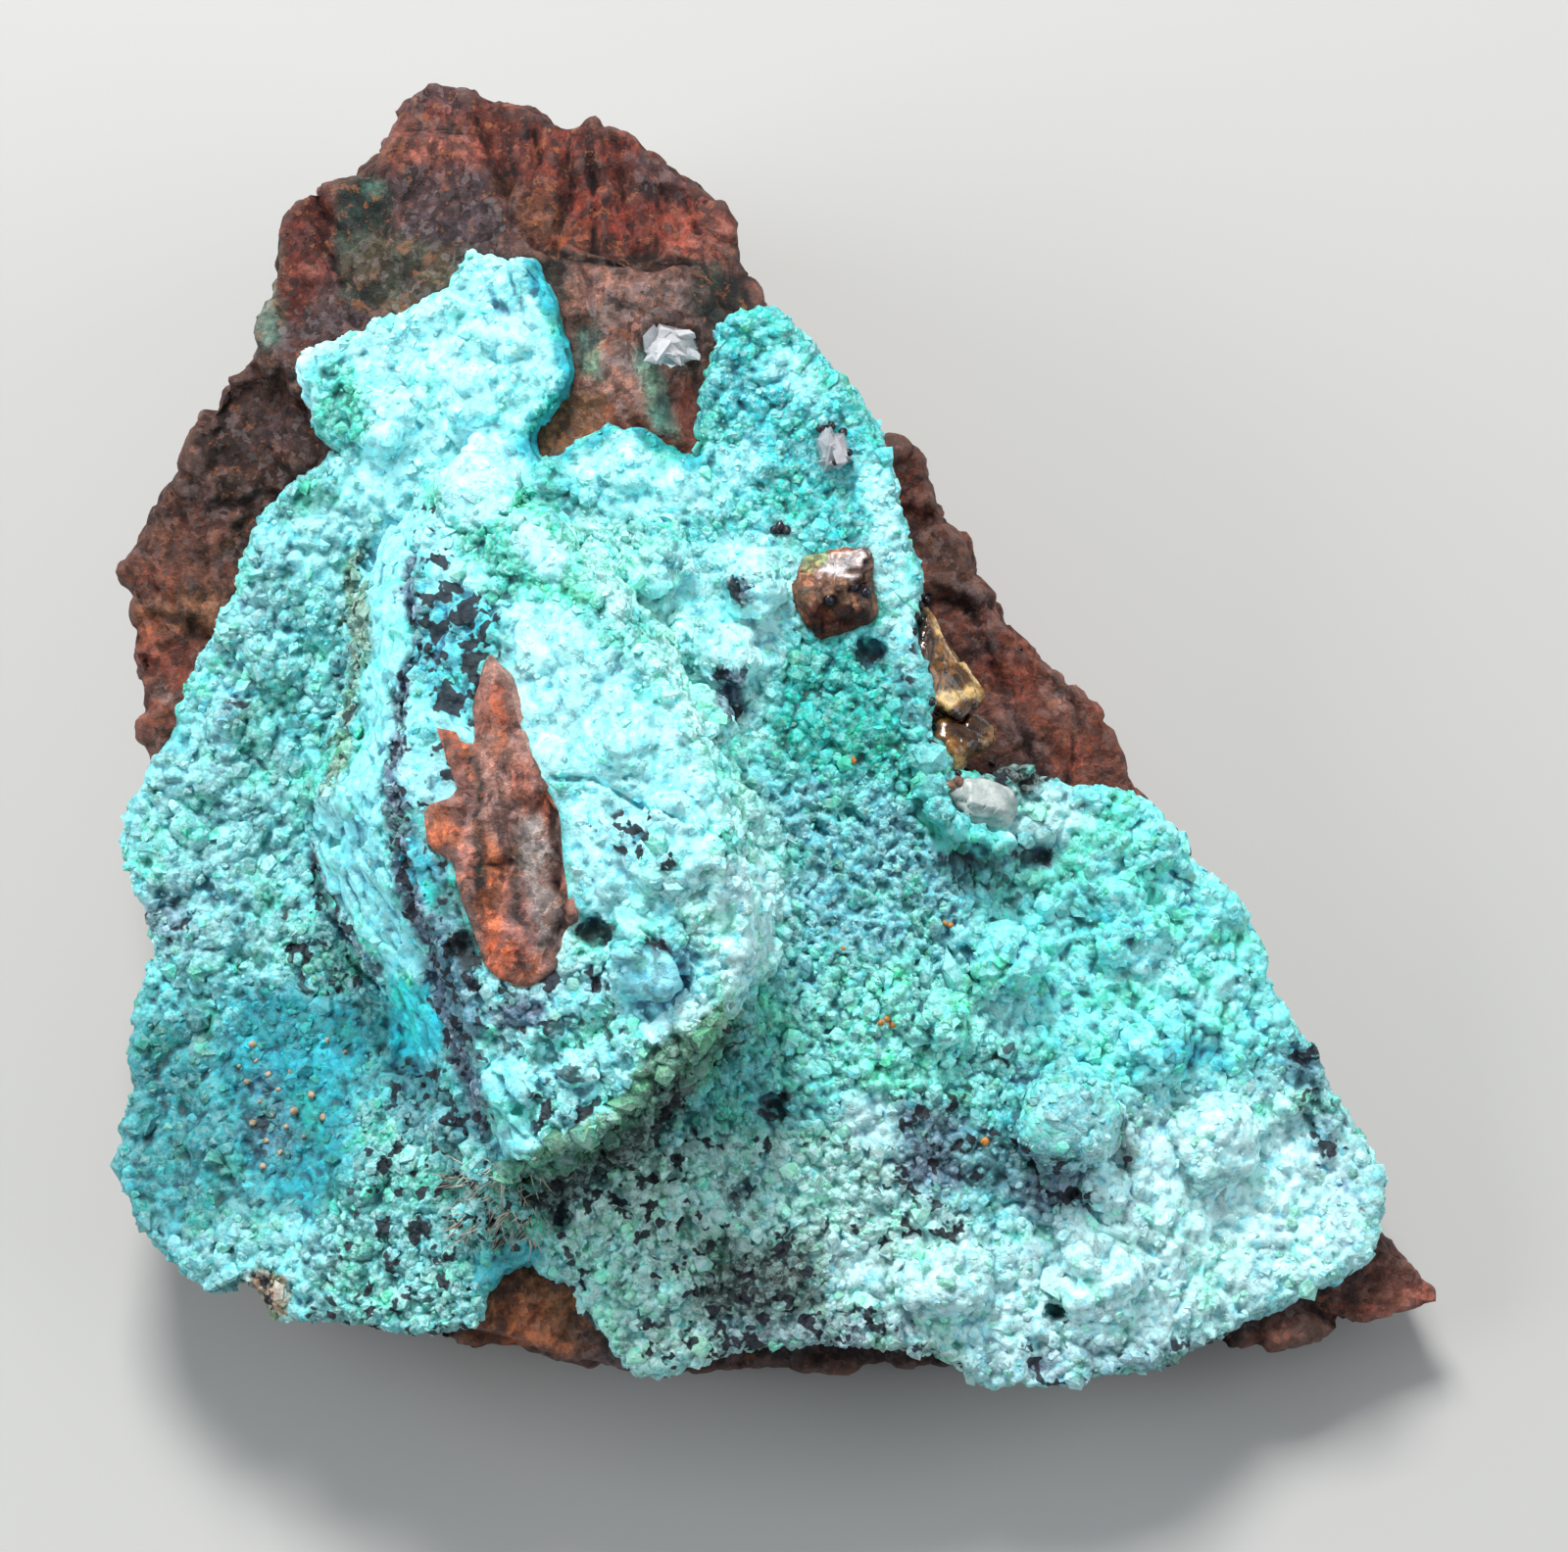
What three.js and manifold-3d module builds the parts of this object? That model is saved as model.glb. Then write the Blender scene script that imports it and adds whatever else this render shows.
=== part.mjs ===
// A hemimorphite specimen: a blue-green lumpy crust on iron-stained rock, with a broken fin of crust
// standing out of its face, and a few grains and crystals held in the crust.
//
// The crusted face is drawn in a frame of its own: u to the right, v up the face and w out of it, in
// millimetres, with w = 0 near the middle of the face. Outlines are given as they look from EYE_DISTANCE
// straight out of the face. The whole specimen then leans forward by FACE_LEAN_DEG and is set down on
// its flat underside, +Z up, with the origin under the middle of its box.
import * as THREE from "three";
import Module from "manifold-3d";
import { mergeVertices } from "three/addons/utils/BufferGeometryUtils.js";
import { ConvexGeometry } from "three/addons/geometries/ConvexGeometry.js";

const wasm = await Module();
wasm.setup();

// Driving dimensions, in millimetres and degrees.
const FACE_LEAN_DEG = 15; // between the face's normal and straight up
const EYE_DISTANCE = 330; // from the face to where the outlines are seen from
const BASE_DEPTH = 24; // of the flat underside below the middle of the face
const CRUST_THICKNESS = 1.5; // of the crust over the rock
const CRUST_SKIRT = 4.2; // how far the crust reaches down at its outer rim
const SEAT_GAP = 0.3; // between two pieces that touch
const ROCK_STEP = 3.3; // size of the facets of bare rock
const SEAT_STEP = 7; // size of the facets of rock under the crust
const CRUST_STEP = 3; // size of the crust's facets
const UNDERSIDE_STEP = 7; // size of the facets below it, at the skirt
const LUMP_SPACING = 7.6; // between the crust's lumps

// Materials of the pieces.
const ROCK = { color: 0x6e3f2e, roughness: 0.85, metalness: 0 };
const CRUST = { color: 0x6fd3c8, roughness: 0.6, metalness: 0 };
const CHIP = { color: 0x7a4a33, roughness: 0.6, metalness: 0 };
const AMBER = { color: 0x8a5a22, roughness: 0.15, metalness: 0 };
const CLEAR = { color: 0xdde3ea, roughness: 0.1, metalness: 0 };
const MILKY = { color: 0xcdd2cf, roughness: 0.35, metalness: 0 };

// Heights of the crusted face: [u, v, w] at spots read off the face.
const CRUST_SPOTS = [
  [-7.5, 19.6, 0], [-17.5, 22, -2], [-23, 18.6, -3.5], [-25, 11.6, -4.5], [-28, 7, -6.5],
  [-30, 0, -8], [-31, -5.5, -9], [-31, -13, -9], [-31.5, -20, -8], [-26, -24.5, -5.5],
  [-19, -23, -1.5], [-15, -25.5, -1], [-23.5, -15.5, -6], [-26, -10, -7.5], [-26, -2, -7.5],
  [-9, -23, -1.5], [-5, -27, -2.5], [0, -25.5, -2.5], [2.5, -18, -1], [0, -13, 0], [3, -5.5, 0],
  [-1, 4.5, 0.5], [3, 16.5, -0.5], [4, 11.5, -0.5], [6.5, 4.5, -0.5], [9, -1.5, -1.5], [13, -4, -4],
  [15, -8, -5], [20, -10.5, -6.5], [22.5, -15.5, -8], [26.5, -19.5, -9.5], [25, -24.5, -9],
  [17.5, -18, -4.5], [15, -23, -5.5], [12.5, -28, -6], [7.5, -20.5, -2.5], [5, -26.5, -4],
];

// Edge of the crust, clockwise from the top of its upper left lobe.
const CRUST_OUTLINE = [
  [-16.1, 26.7], [-13.9, 26], [-12.9, 26.3], [-12.2, 25], [-11.6, 23.6], [-11.2, 22.1], [-10.9, 20.5],
  [-11.3, 19.4], [-12.7, 18.3], [-13, 17.3], [-12.7, 16.2], [-11.2, 16.3], [-10, 17.2], [-8.9, 17.8],
  [-7.5, 17.4], [-6, 16.6], [-4.6, 16.1], [-3.9, 16.5], [-4.2, 17.8], [-3.9, 19.6], [-3.5, 21.1],
  [-3.1, 22.6], [-2, 23.5], [-0.5, 23.5], [1.5, 21.5], [3.5, 19.6], [4.4, 18.1], [5.2, 16.6],
  [5.6, 14.6], [6.2, 12.4], [6.9, 10.1], [6.5, 8.1], [6.6, 6.1], [7.2, 4.1], [7.5, 2.1], [8.2, 0.1],
  [10, -0.4], [12, 0.4], [13.5, -0.4], [15.5, -0.8], [17.5, -0.8], [19.2, -2.4], [20.6, -4.9],
  [22.8, -6.4], [24, -8.6], [24.8, -11.6], [27, -14.1], [27.6, -15.9], [28.9, -18.1], [30.3, -20.4],
  [30.3, -23.5], [29.2, -25], [26.5, -26.5], [23, -27.9], [19.5, -29.6], [16.5, -30.4], [13, -31.1],
  [10.5, -31], [9.2, -30], [7.5, -29.3], [5, -28.8], [1.5, -28.7], [-2.5, -29], [-5, -30.1],
  [-7.2, -30.3], [-8.4, -29.4], [-9.5, -27.6], [-11, -25.8], [-13, -24.7], [-14.5, -25.1],
  [-15.5, -26.3], [-16, -27.8], [-18, -28.2], [-22.5, -27.6], [-25.5, -27.5], [-26.9, -25.9],
  [-28, -25.5], [-29.2, -26.4], [-30.2, -25.3], [-32, -24.1], [-33, -22.3], [-33.6, -20.4],
  [-33.7, -18.4], [-33, -16.1], [-33.1, -12.6], [-32.6, -10.6], [-31.7, -8.6], [-32.4, -6.4],
  [-33.2, -4.4], [-33.2, -1.9], [-32.5, -0.2], [-31.6, 1.2], [-30.7, 2.8], [-30.2, 4.8],
  [-28.9, 6.8], [-28.1, 9], [-27.2, 11.1], [-26.6, 13.1], [-25.4, 14.7], [-23.4, 15.3],
  [-22.4, 16.5], [-23.2, 17.6], [-24.1, 19.3], [-24.6, 21.1], [-22.7, 22.2], [-20.7, 23.1],
  [-18.5, 23.8], [-16.9, 24.8],
];

// The rock is one mass of five shoulders. Each has an outline, and heights at spots of its top.
const SHOULDERS = {
  core: {
    outline: [
      [-17.5, 27], [-12, 27], [-5, 26], [-1.5, 22.6], [2.6, 18.8], [4.2, 14.8], [5.6, 9.8], [5.2, 4],
      [6.4, 0], [8.5, -2], [14, -2.4], [18.2, -3.6], [21.6, -7.6], [23.4, -12.6], [26.4, -16.8],
      [28.9, -20.8], [28.6, -23.6], [22, -26.8], [13, -29.6], [4, -27.4], [-5, -28.8], [-8, -30.2],
      [-12, -29.2], [-16, -28.2], [-18.5, -26.8], [-25, -26], [-30, -24], [-32.2, -20], [-31.7, -13],
      [-30.4, -8.5], [-31.8, -4], [-31.2, 0], [-29.4, 4], [-27.2, 9], [-25.4, 13.5], [-23.4, 17],
      [-23.6, 21],
    ],
    spots: CRUST_SPOTS.map(([u, v, w]) => [u, v, w - CRUST_THICKNESS]),
    coated: true,
  },
  peak: {
    outline: [
      [-27.2, 22.4], [-26.5, 24.6], [-26, 27.6], [-25, 29.4], [-23.2, 30.4], [-20.8, 30.7],
      [-20, 33.1], [-19.2, 35.2], [-18, 35.5], [-16.5, 35.4], [-15, 34.6], [-12.6, 33.7], [-11, 33.4],
      [-8, 33], [-7, 31.9], [-5, 30.7], [-3.2, 29.1], [-2.6, 27.6], [-2.7, 26.1], [-1.5, 24.8],
      [-1, 22.8], [-2.5, 18], [-3.2, 15], [-14, 14], [-22, 18], [-26.4, 20.4],
    ],
    spots: [
      [-7.5, 20, -1.8], [-5.5, 17.5, -2.2], [-12.4, 17.4, -3], [-5, 24, -1.8], [-11, 28, -2.4],
      [-4, 29, -4.5], [-3, 26.5, -3.4], [-8, 32, -6], [-17, 34, -7.5], [-14, 29.5, -3], [-19, 30, -6],
      [-16, 27.5, -3.2], [-21.5, 26, -4.6], [-24.5, 28, -7], [-26, 24, -6], [-20, 23.5, -4.2],
      [-24.5, 21.5, -5.6], [-18, 19, -5], [-14, 22, -3.6], [-16, 16, -5], [-8, 15, -3.4],
      [-1.5, 24, -3.6],
    ],
  },
  left: {
    outline: [
      [-26.9, 21.7], [-28.7, 20.1], [-29.7, 17.6], [-30.7, 15.1], [-32, 13.6], [-33.4, 11.6],
      [-33.7, 8.6], [-33.5, 6.6], [-32.7, 4.6], [-32.8, 2.6], [-31.7, 0.6], [-27, 0], [-20, 14],
      [-22, 20],
    ],
    spots: [
      [-26, 19, -6], [-28.5, 18, -8.5], [-25.5, 15.5, -6.5], [-31, 12.5, -10], [-28, 12, -7.8],
      [-33, 8, -11], [-29.5, 7, -9], [-32, 3, -11.5], [-30.5, 3, -10.4],
    ],
  },
  right: {
    outline: [
      [3, 17.6], [6.9, 16.7], [7, 15], [9.2, 11.6], [9.2, 10.1], [11.5, 7.6], [13, 6.4], [15, 4.6],
      [16.1, 3.4], [16.8, 1.9], [17.6, 0.6], [17.7, -0.7], [18.8, -1.9], [20.5, -3.8], [20.9, -5.4],
      [18, -9], [6, -2], [2, 8],
    ],
    spots: [
      [5.5, 15, -10], [8.5, 11, -11.5], [8, 7, -8], [12, 4, -9.5], [15, 3, -11.5], [14, 0.5, -8],
      [17.5, 0, -10], [19, -4, -10.5], [10, 6, -9.5],
    ],
  },
  front: {
    outline: [
      [-18, -27], [-18, -29], [-14, -29], [-12, -29.4], [-10.7, -29.9], [-8, -30.5], [-5.5, -30.7],
      [-2, -30.4], [4, -30.3], [6, -30.6], [7.5, -31.9], [9.2, -32.5], [17, -32.4], [20, -32.4],
      [21.7, -30.9], [23.2, -29.4], [29.7, -29.4], [32.5, -29.1], [33.6, -27.9], [33.5, -26.6],
      [32.6, -25.4], [32.2, -24.8], [30.4, -23.6], [20, -22], [0, -24],
    ],
    spots: [
      [-15, -28.5, -8], [-8, -30, -8.5], [0, -30, -11.5], [8, -31, -12.5], [14, -31.5, -10.5],
      [20, -31, -10.5], [24, -28.5, -11], [31, -26.5, -11.5], [33, -28, -12.5],
    ],
  },
};

// The rock below its shoulders: outline of the widest level, and how it narrows to the underside.
const BODY_OUTLINE = [
  [-17, 34.4], [-8, 32], [-3.5, 27.5], [2.5, 20], [6.5, 15.5], [9, 10.5], [15, 4], [18, -1],
  [20.5, -5], [24, -12], [29.5, -20], [32.5, -26.5], [28, -28.6], [20.5, -31.4], [9, -31.6],
  [-6, -29.8], [-17, -28.2], [-26, -26.4], [-32.2, -21], [-32.4, -12], [-31.6, 0], [-32.8, 8],
  [-29.4, 17], [-26.4, 24], [-24.2, 29],
];
const BODY_LEVELS = [
  { w: -46, scale: 0.76 }, { w: -34, scale: 0.86 }, { w: -26, scale: 0.95 }, { w: -18, scale: 0.99 },
  { w: -13, scale: 0.98 },
];
const SHOULDER_LEVELS = [
  { w: -24, scale: 0.97 }, { w: -18, scale: 0.98 }, { w: -12, scale: 0.99 }, { w: 4, scale: 1 },
];

// Faces along which the rock has broken: a point on each, and the way it faces, in the face frame.
const BREAKS = [
  { at: [-31, 14, -16], facing: [-0.86, 0.22, -0.46] },
  { at: [-30, -20, -17], facing: [-0.8, -0.42, -0.42] },
  { at: [8, 24, -18], facing: [0.74, 0.6, -0.3] },
  { at: [-20, 33.5, -16], facing: [-0.3, 0.93, -0.2] },
  { at: [27, -12, -18], facing: [0.88, 0.3, -0.36] },
  { at: [6, -30, -15], facing: [0.1, -0.88, -0.46] },
];

// The fin's sides, as rings of points [u, v, w], clockwise from its upper end.
const FIN_FOOT = [
  [-16, 13, -6], [-18, 11.5, -7], [-19.6, 8, -8], [-20, 4, -9], [-21.4, -1, -10], [-20.4, -6, -10],
  [-17.8, -10.6, -9], [-16, -15.2, -6], [-13.6, -17, -5], [-10.4, -15.8, -4.5], [-7, -12.8, -4.5],
  [-4.4, -9.2, -4.5], [-3.2, -5.4, -4], [-5, 0, -4], [-7.4, 6, -4], [-11.6, 11, -4],
];
const FIN_BELLY = [
  [-16, 15.5, 1.5], [-19.6, 13, 0], [-22, 8.6, -0.5], [-22.2, 4.2, -1], [-24.4, -0.9, -1.5],
  [-23.2, -6.2, -1.5], [-19.9, -11.6, -1], [-17.2, -16.9, 0], [-14.5, -20, 1.5], [-9.5, -18.8, 2.5],
  [-4.7, -15.6, 3], [-1.4, -10.9, 3.5], [-0.6, -6.5, 4], [-3, 0.1, 4], [-6, 7.1, 3.5], [-11, 12, 3],
];
const FIN_SHOULDER = [
  [-15.6, 14.6, 5], [-18.4, 12.4, 4.6], [-19.8, 8, 5], [-19.8, 3.6, 6], [-20, -0.6, 6.6],
  [-18.8, -5.2, 6.6], [-17, -10, 6], [-15.2, -15.4, 5.2], [-13.6, -19, 4.4], [-9.4, -17.8, 5.4],
  [-5.4, -14.6, 6.4], [-2.4, -10.4, 7], [-1.8, -6.2, 7.6], [-4, 0.4, 8], [-7, 6.8, 7.4], [-11.4, 11.4, 6],
];
const FIN_LID_W = 18; // height to which the sides go on, above the top
const FIN_AROUND = 24; // points around each ring
const FIN_STEP = 2.1; // size of the facets of its top

// Heights of the fin's broken top.
const FIN_SPOTS = [
  [-18, 13.2, 4.6], [-15.5, 14, 6], [-13.5, 11.6, 7], [-20, 9.6, 5], [-17, 7.1, 6.4], [-19, 2.1, 6.4],
  [-15, 4.6, 7.4], [-12, 7.1, 8.8], [-9, 4.6, 9.8], [-5.5, 2.1, 9.2], [-18.5, -2.9, 7], [-16, -2.9, 7.8],
  [-13, -2.9, 8.6], [-10, -0.4, 10.2], [-6, -2.9, 11], [-3.5, -5.4, 9.8], [-16.5, -7.9, 6.8],
  [-13, -9.4, 7.8], [-10, -7.9, 8.4], [-7, -7.9, 10.2], [-3, -8.4, 8.6], [-15, -14.4, 6],
  [-11, -13.4, 7.2], [-7.5, -13.4, 8], [-5, -11.9, 7.6], [-14, -18.9, 4.6], [-10, -16.9, 6],
];

// The rock inside the fin, and the window on top of the fin where it shows.
const FIN_WINDOW = [
  [-17.5, 2.4], [-16.8, 0.8], [-16.3, -0.7], [-16.9, -1.4], [-18.2, -1.8], [-17.9, -3.4],
  [-16.5, -4.2], [-16.2, -6.3], [-15.4, -8.4], [-15, -9.8], [-12.9, -10.6], [-11.7, -9.7],
  [-10.8, -7.2], [-11.2, -4.4], [-11.4, -1.8], [-12.3, -0.2], [-13.1, 1.4], [-13.8, 4.6], [-15, 6],
  [-15.5, 3.6], [-15.6, 1], [-16.5, 1.8],
];
const FIN_CORE_LEVELS = [{ w: -16, scale: 0.9 }, { w: 3, scale: 1 }, { w: 14, scale: 1 }];
const FIN_CORE_STEP = 1.7; // size of the facets of its top

// Big lumps and mounds that stand out of the crust: [u, v, w of the middle, radius].
const MOUNDS = [
  [-15.5, 13.9, 4.2, 2.2], [-13.2, 11.4, 5.6, 2.2], [-11, 6, 6.4, 3.2], [-8, 2, 7, 3.8],
  [-5.4, -3.4, 7.8, 3.8], [-6.6, -9, 7.4, 3], [-10.4, -14, 4.8, 2.8],
  [-3, 6, 0.8, 1.9], [-1.6, 9.6, 0.6, 1.7], [-6.6, 11, 1, 2.2],
  [14.6, -17.4, -4.2, 2.8], [19, -14, -7, 2.6], [11.4, -9.6, -3.6, 2.2], [17.6, -8, -6.4, 2.8],
  [22, -19, -8.6, 3.2], [16, -26, -6.6, 2.8], [8.4, -26, -4.6, 2.4], [-28.6, -4, -10, 3],
  [-29.6, -10.4, -10, 2.6], [-28.4, 2.6, -8.6, 2.4], [-26.6, 6.4, -7.4, 2.2], [-29, -19.6, -8.8, 2.6],
  [-21.6, -20.6, -4.4, 2.2], [-20.4, 18.4, -4.2, 2.6], [-15.6, 19.6, -3, 2.4], [-13.8, 22.6, -2.8, 2.2],
];

// The frill of small lumps under the fin's lower right edge: places along the belly ring.
const FRILL = { from: 0.49, to: 0.86, count: 12, radius: 1.45 };

// The curled lip of crust below the amber grains, as a row of lumps.
const LIP = [
  [7.1, 0.8, -0.6], [7.4, -0.5, -0.5], [7.9, -1.7, -0.6], [8.7, -2.7, -0.8], [9.8, -3.3, -1],
  [11, -3.5, -1.4],
];
const LIP_RADIUS = 0.8;

// Hollows in the crust: [u, v, w, radius].
const HOLLOWS = [
  [4.3, 6.5, 0.2, 1.2], [9.6, -4.9, -1.4, 1.4], [12.8, -4.6, -3, 1.1], [-9, -21.2, 0.2, 1.7],
  [-5.4, -19.4, 0.2, 1.6], [-0.4, -16.8, 0.6, 1.1], [-2, -27.6, -0.8, 1.5], [5.4, -19, -0.6, 1.4],
];

// Holes in the bare rock of the peak.
const ROCK_HOLES = [
  [-21.4, 28.4, -3.6, 2], [-19.4, 25.2, -2.6, 1.3], [-24.6, 25.6, -4.4, 1.2], [-9.8, 26.2, -1, 1],
];

// The crust's needles, a spray lying on it: where it starts, and the length and the girth of a needle.
const SPRAY = { at: [-15.6, -20.6, -1.2], count: 7, length: 4.4, radius: 0.4, sides: 4 };

// Corners of the grains and crystals held in the crust, [u, v, w].
const CHIP_CORNERS = [
  [0.8, 9, -1.4], [1, 11, -1.4], [4.3, 11.6, -1.4], [4.6, 8.2, -1.4], [1.6, 6.9, -1.4],
  [1, 9.6, 1.1], [1.4, 10.9, 0.6], [4.1, 11.3, 0.5], [4.4, 8.8, 1.2], [4.2, 8, 0.4], [1.8, 7.2, 0.3],
];
const UPPER_AMBER_CORNERS = [
  [7, 8.4, -5], [6.8, 5.4, -5], [9, 2.8, -5], [10.2, 4.2, -5], [7.3, 8.2, -1.6], [7.1, 6, -1],
  [7.6, 4, -1.2], [9, 3, -2], [9.9, 4.3, -3.4], [8.6, 6.4, -3],
];
const LOWER_AMBER_CORNERS = [
  [8, 2, -6], [8.6, 0.4, -6], [10.8, 2.2, -6], [8.2, 2.6, -2.2], [8.1, 1.2, -1.8], [8.8, 0.6, -2.4],
  [10.7, 2.4, -3.6], [9.8, 2.9, -3], [9.4, 1.6, -1.9],
];
const MILKY_CORNERS = [
  [8.5, -1, -3.4], [9.4, -2.2, -3.4], [11.4, -2.4, -3.8], [11.6, -1.2, -3.8], [8.8, -0.9, -1.4],
  [9.5, -1.9, -1.2], [11.1, -2.1, -1.6], [11.2, -1.1, -1.8], [10, -0.6, -1.6],
];
const TOP_CRYSTAL_CORNERS = [
  [-7.2, 21.8, -1.6], [-6.4, 23.2, -1.6], [-4.7, 22.8, -1.8], [-4.3, 21.5, -1.6], [-5.8, 20.9, -1.4],
  [-6.8, 21.9, 0.2], [-6.1, 22.9, 0], [-5.4, 22.1, 0.7], [-4.7, 22.4, 0], [-4.9, 21.4, 0.2],
];
const RIGHT_CRYSTAL_CORNERS = [
  [1.4, 17.3, -1.4], [3.2, 17.8, -1.6], [3.7, 16, -1.6], [2, 15.4, -1.2], [1.7, 17.2, 0.2],
  [3, 17.4, 0], [3.4, 16.2, 0.1], [2.2, 15.8, 0.4], [2.4, 16.8, 0.9],
];

const HASH_SPREAD = [374761393, 668265263, 1274126177];
const HASH_RANGE = 4294967296;

// A number from 0 to 1 that is fixed for each trio of whole numbers.
function hash(i, j, k) {
  const sum = Math.imul(i, HASH_SPREAD[0]) + Math.imul(j, HASH_SPREAD[1]) + Math.imul(k, HASH_SPREAD[2]);
  let mixed = Math.imul(sum ^ (sum >>> 13), HASH_SPREAD[2]);
  mixed ^= mixed >>> 16;
  return (mixed >>> 0) / HASH_RANGE;
}

// Smooth noise from -1 to 1 over space, with features about one unit across.
function noise(x, y, z) {
  const cell = [x, y, z].map(Math.floor);
  const [fx, fy, fz] = [x, y, z].map((value, axis) => {
    const part = value - cell[axis];
    return part * part * (3 - 2 * part);
  });
  let sum = 0;
  for (let corner = 0; corner < 8; corner++) {
    const [di, dj, dk] = [corner & 1, (corner >> 1) & 1, corner >> 2];
    const weight = (di ? fx : 1 - fx) * (dj ? fy : 1 - fy) * (dk ? fz : 1 - fz);
    sum += weight * hash(cell[0] + di, cell[1] + dj, cell[2] + dk);
  }
  return 2 * sum - 1;
}

// Height at (u, v) from the spots near it.
const SPOT_REACH = 3.6;
function heightFrom(spots, u, v) {
  let sum = 0;
  let total = 0;
  for (const [su, sv, sw] of spots) {
    const distance = Math.hypot(u - su, v - sv) / SPOT_REACH;
    const weight = Math.exp(-0.5 * distance * distance) + 1e-3 / (1 + distance ** 4);
    sum += weight * sw;
    total += weight;
  }
  return sum / total;
}

// Mounds about 6 mm across, which the rock under the crust has too.
function mounds(u, v) {
  return 0.55 * noise(u / 6, v / 6, 3.5);
}

// The crust's surface: the spots, with mounds, and lumps about 2.5 mm across.
function crustTop(u, v) {
  return heightFrom(CRUST_SPOTS, u, v) + mounds(u, v) + 0.35 * noise(u / 2.5, v / 2.5, 9.5);
}

// The rock's surface on one of its shoulders, bare or coated with the crust.
function rockTop({ spots, coated }, u, v) {
  const uneven = coated ? mounds(u, v) : 0.5 * noise(u / 4.5, v / 4.5, 5.5) + 0.3 * noise(u / 2, v / 2, 1.5);
  return heightFrom(spots, u, v) + uneven;
}

// Where a point seen at (u, v) is, if it lies at height w.
function asSeen([u, v], w) {
  const share = (EYE_DISTANCE - w) / EYE_DISTANCE;
  return [u * share, v * share];
}

// A closed mesh as a solid that can be joined and cut.
function solidOf(geometry) {
  const bare = geometry.clone();
  bare.deleteAttribute("normal");
  bare.deleteAttribute("uv");
  const merged = mergeVertices(bare, 1e-4);
  const made = new wasm.Mesh({
    numProp: 3,
    vertProperties: new Float32Array(merged.attributes.position.array),
    triVerts: new Uint32Array(merged.index.array),
  });
  return new wasm.Manifold(made);
}

function geometryOf(solid) {
  const mesh = solid.getMesh();
  const positions = new Float32Array(mesh.numVert * 3);
  for (let i = 0; i < mesh.numVert; i++) {
    positions.set(mesh.vertProperties.subarray(i * mesh.numProp, i * mesh.numProp + 3), i * 3);
  }
  const geometry = new THREE.BufferGeometry();
  geometry.setAttribute("position", new THREE.BufferAttribute(positions, 3));
  geometry.setIndex(new THREE.BufferAttribute(new Uint32Array(mesh.triVerts), 1));
  geometry.computeVertexNormals();
  return geometry;
}

function joined(solids) {
  return solids.reduce((sum, solid) => sum.add(solid));
}

// The biggest of the bodies that a cut has left: crumbs are dropped.
function biggest(solid) {
  return solid.decompose().reduce((most, body) => (body.volume() > most.volume() ? body : most));
}

function meshOfPoints(points, faces) {
  const geometry = new THREE.BufferGeometry();
  geometry.setAttribute("position", new THREE.BufferAttribute(new Float32Array(points.flat()), 3));
  geometry.setIndex(faces.flat());
  return geometry;
}

// The solid between two surfaces, top(u, v) and under(u, v), over the whole face.
const FACE = { left: -37, right: 37, bottom: -36, top: 39 };
function slab(step, top, under) {
  const across = Math.ceil((FACE.right - FACE.left) / step);
  const up = Math.ceil((FACE.top - FACE.bottom) / step);
  const points = [];
  const faces = [];
  for (const [level, height] of [top, under].entries()) {
    for (let j = 0; j <= up; j++) {
      for (let i = 0; i <= across; i++) {
        const inside = i > 0 && j > 0 && i < across && j < up ? 0.32 * step : 0;
        const u = FACE.left + i * step + inside * (2 * hash(i, j, 11) - 1);
        const v = FACE.bottom + j * step + inside * (2 * hash(i, j, 12) - 1);
        points.push([u, v, height(u, v)]);
      }
    }
    const at = (i, j) => level * (across + 1) * (up + 1) + j * (across + 1) + i;
    for (let j = 0; j < up; j++) {
      for (let i = 0; i < across; i++) {
        const [a, b, c, d] = [at(i, j), at(i + 1, j), at(i + 1, j + 1), at(i, j + 1)];
        const halves = hash(i, j, 13) < 0.5 ? [[a, b, c], [a, c, d]] : [[a, b, d], [b, c, d]];
        faces.push(...(level === 0 ? halves : halves.map((face) => face.reverse())));
      }
    }
  }
  const rim = [];
  for (let i = 0; i < across; i++) rim.push(i);
  for (let j = 0; j < up; j++) rim.push(j * (across + 1) + across);
  for (let i = across; i > 0; i--) rim.push(up * (across + 1) + i);
  for (let j = up; j > 0; j--) rim.push(j * (across + 1));
  const lower = (across + 1) * (up + 1);
  rim.forEach((a, n) => {
    const b = rim[(n + 1) % rim.length];
    faces.push([a, a + lower, b], [b, a + lower, b + lower]);
  });
  return solidOf(meshOfPoints(points, faces));
}

// Twice the area within an outline: above zero if the outline runs counter-clockwise.
function turning(outline) {
  return outline.reduce((sum, [au, av], i) => {
    const [bu, bv] = outline[(i + 1) % outline.length];
    return sum + au * bv - bu * av;
  }, 0);
}

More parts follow.
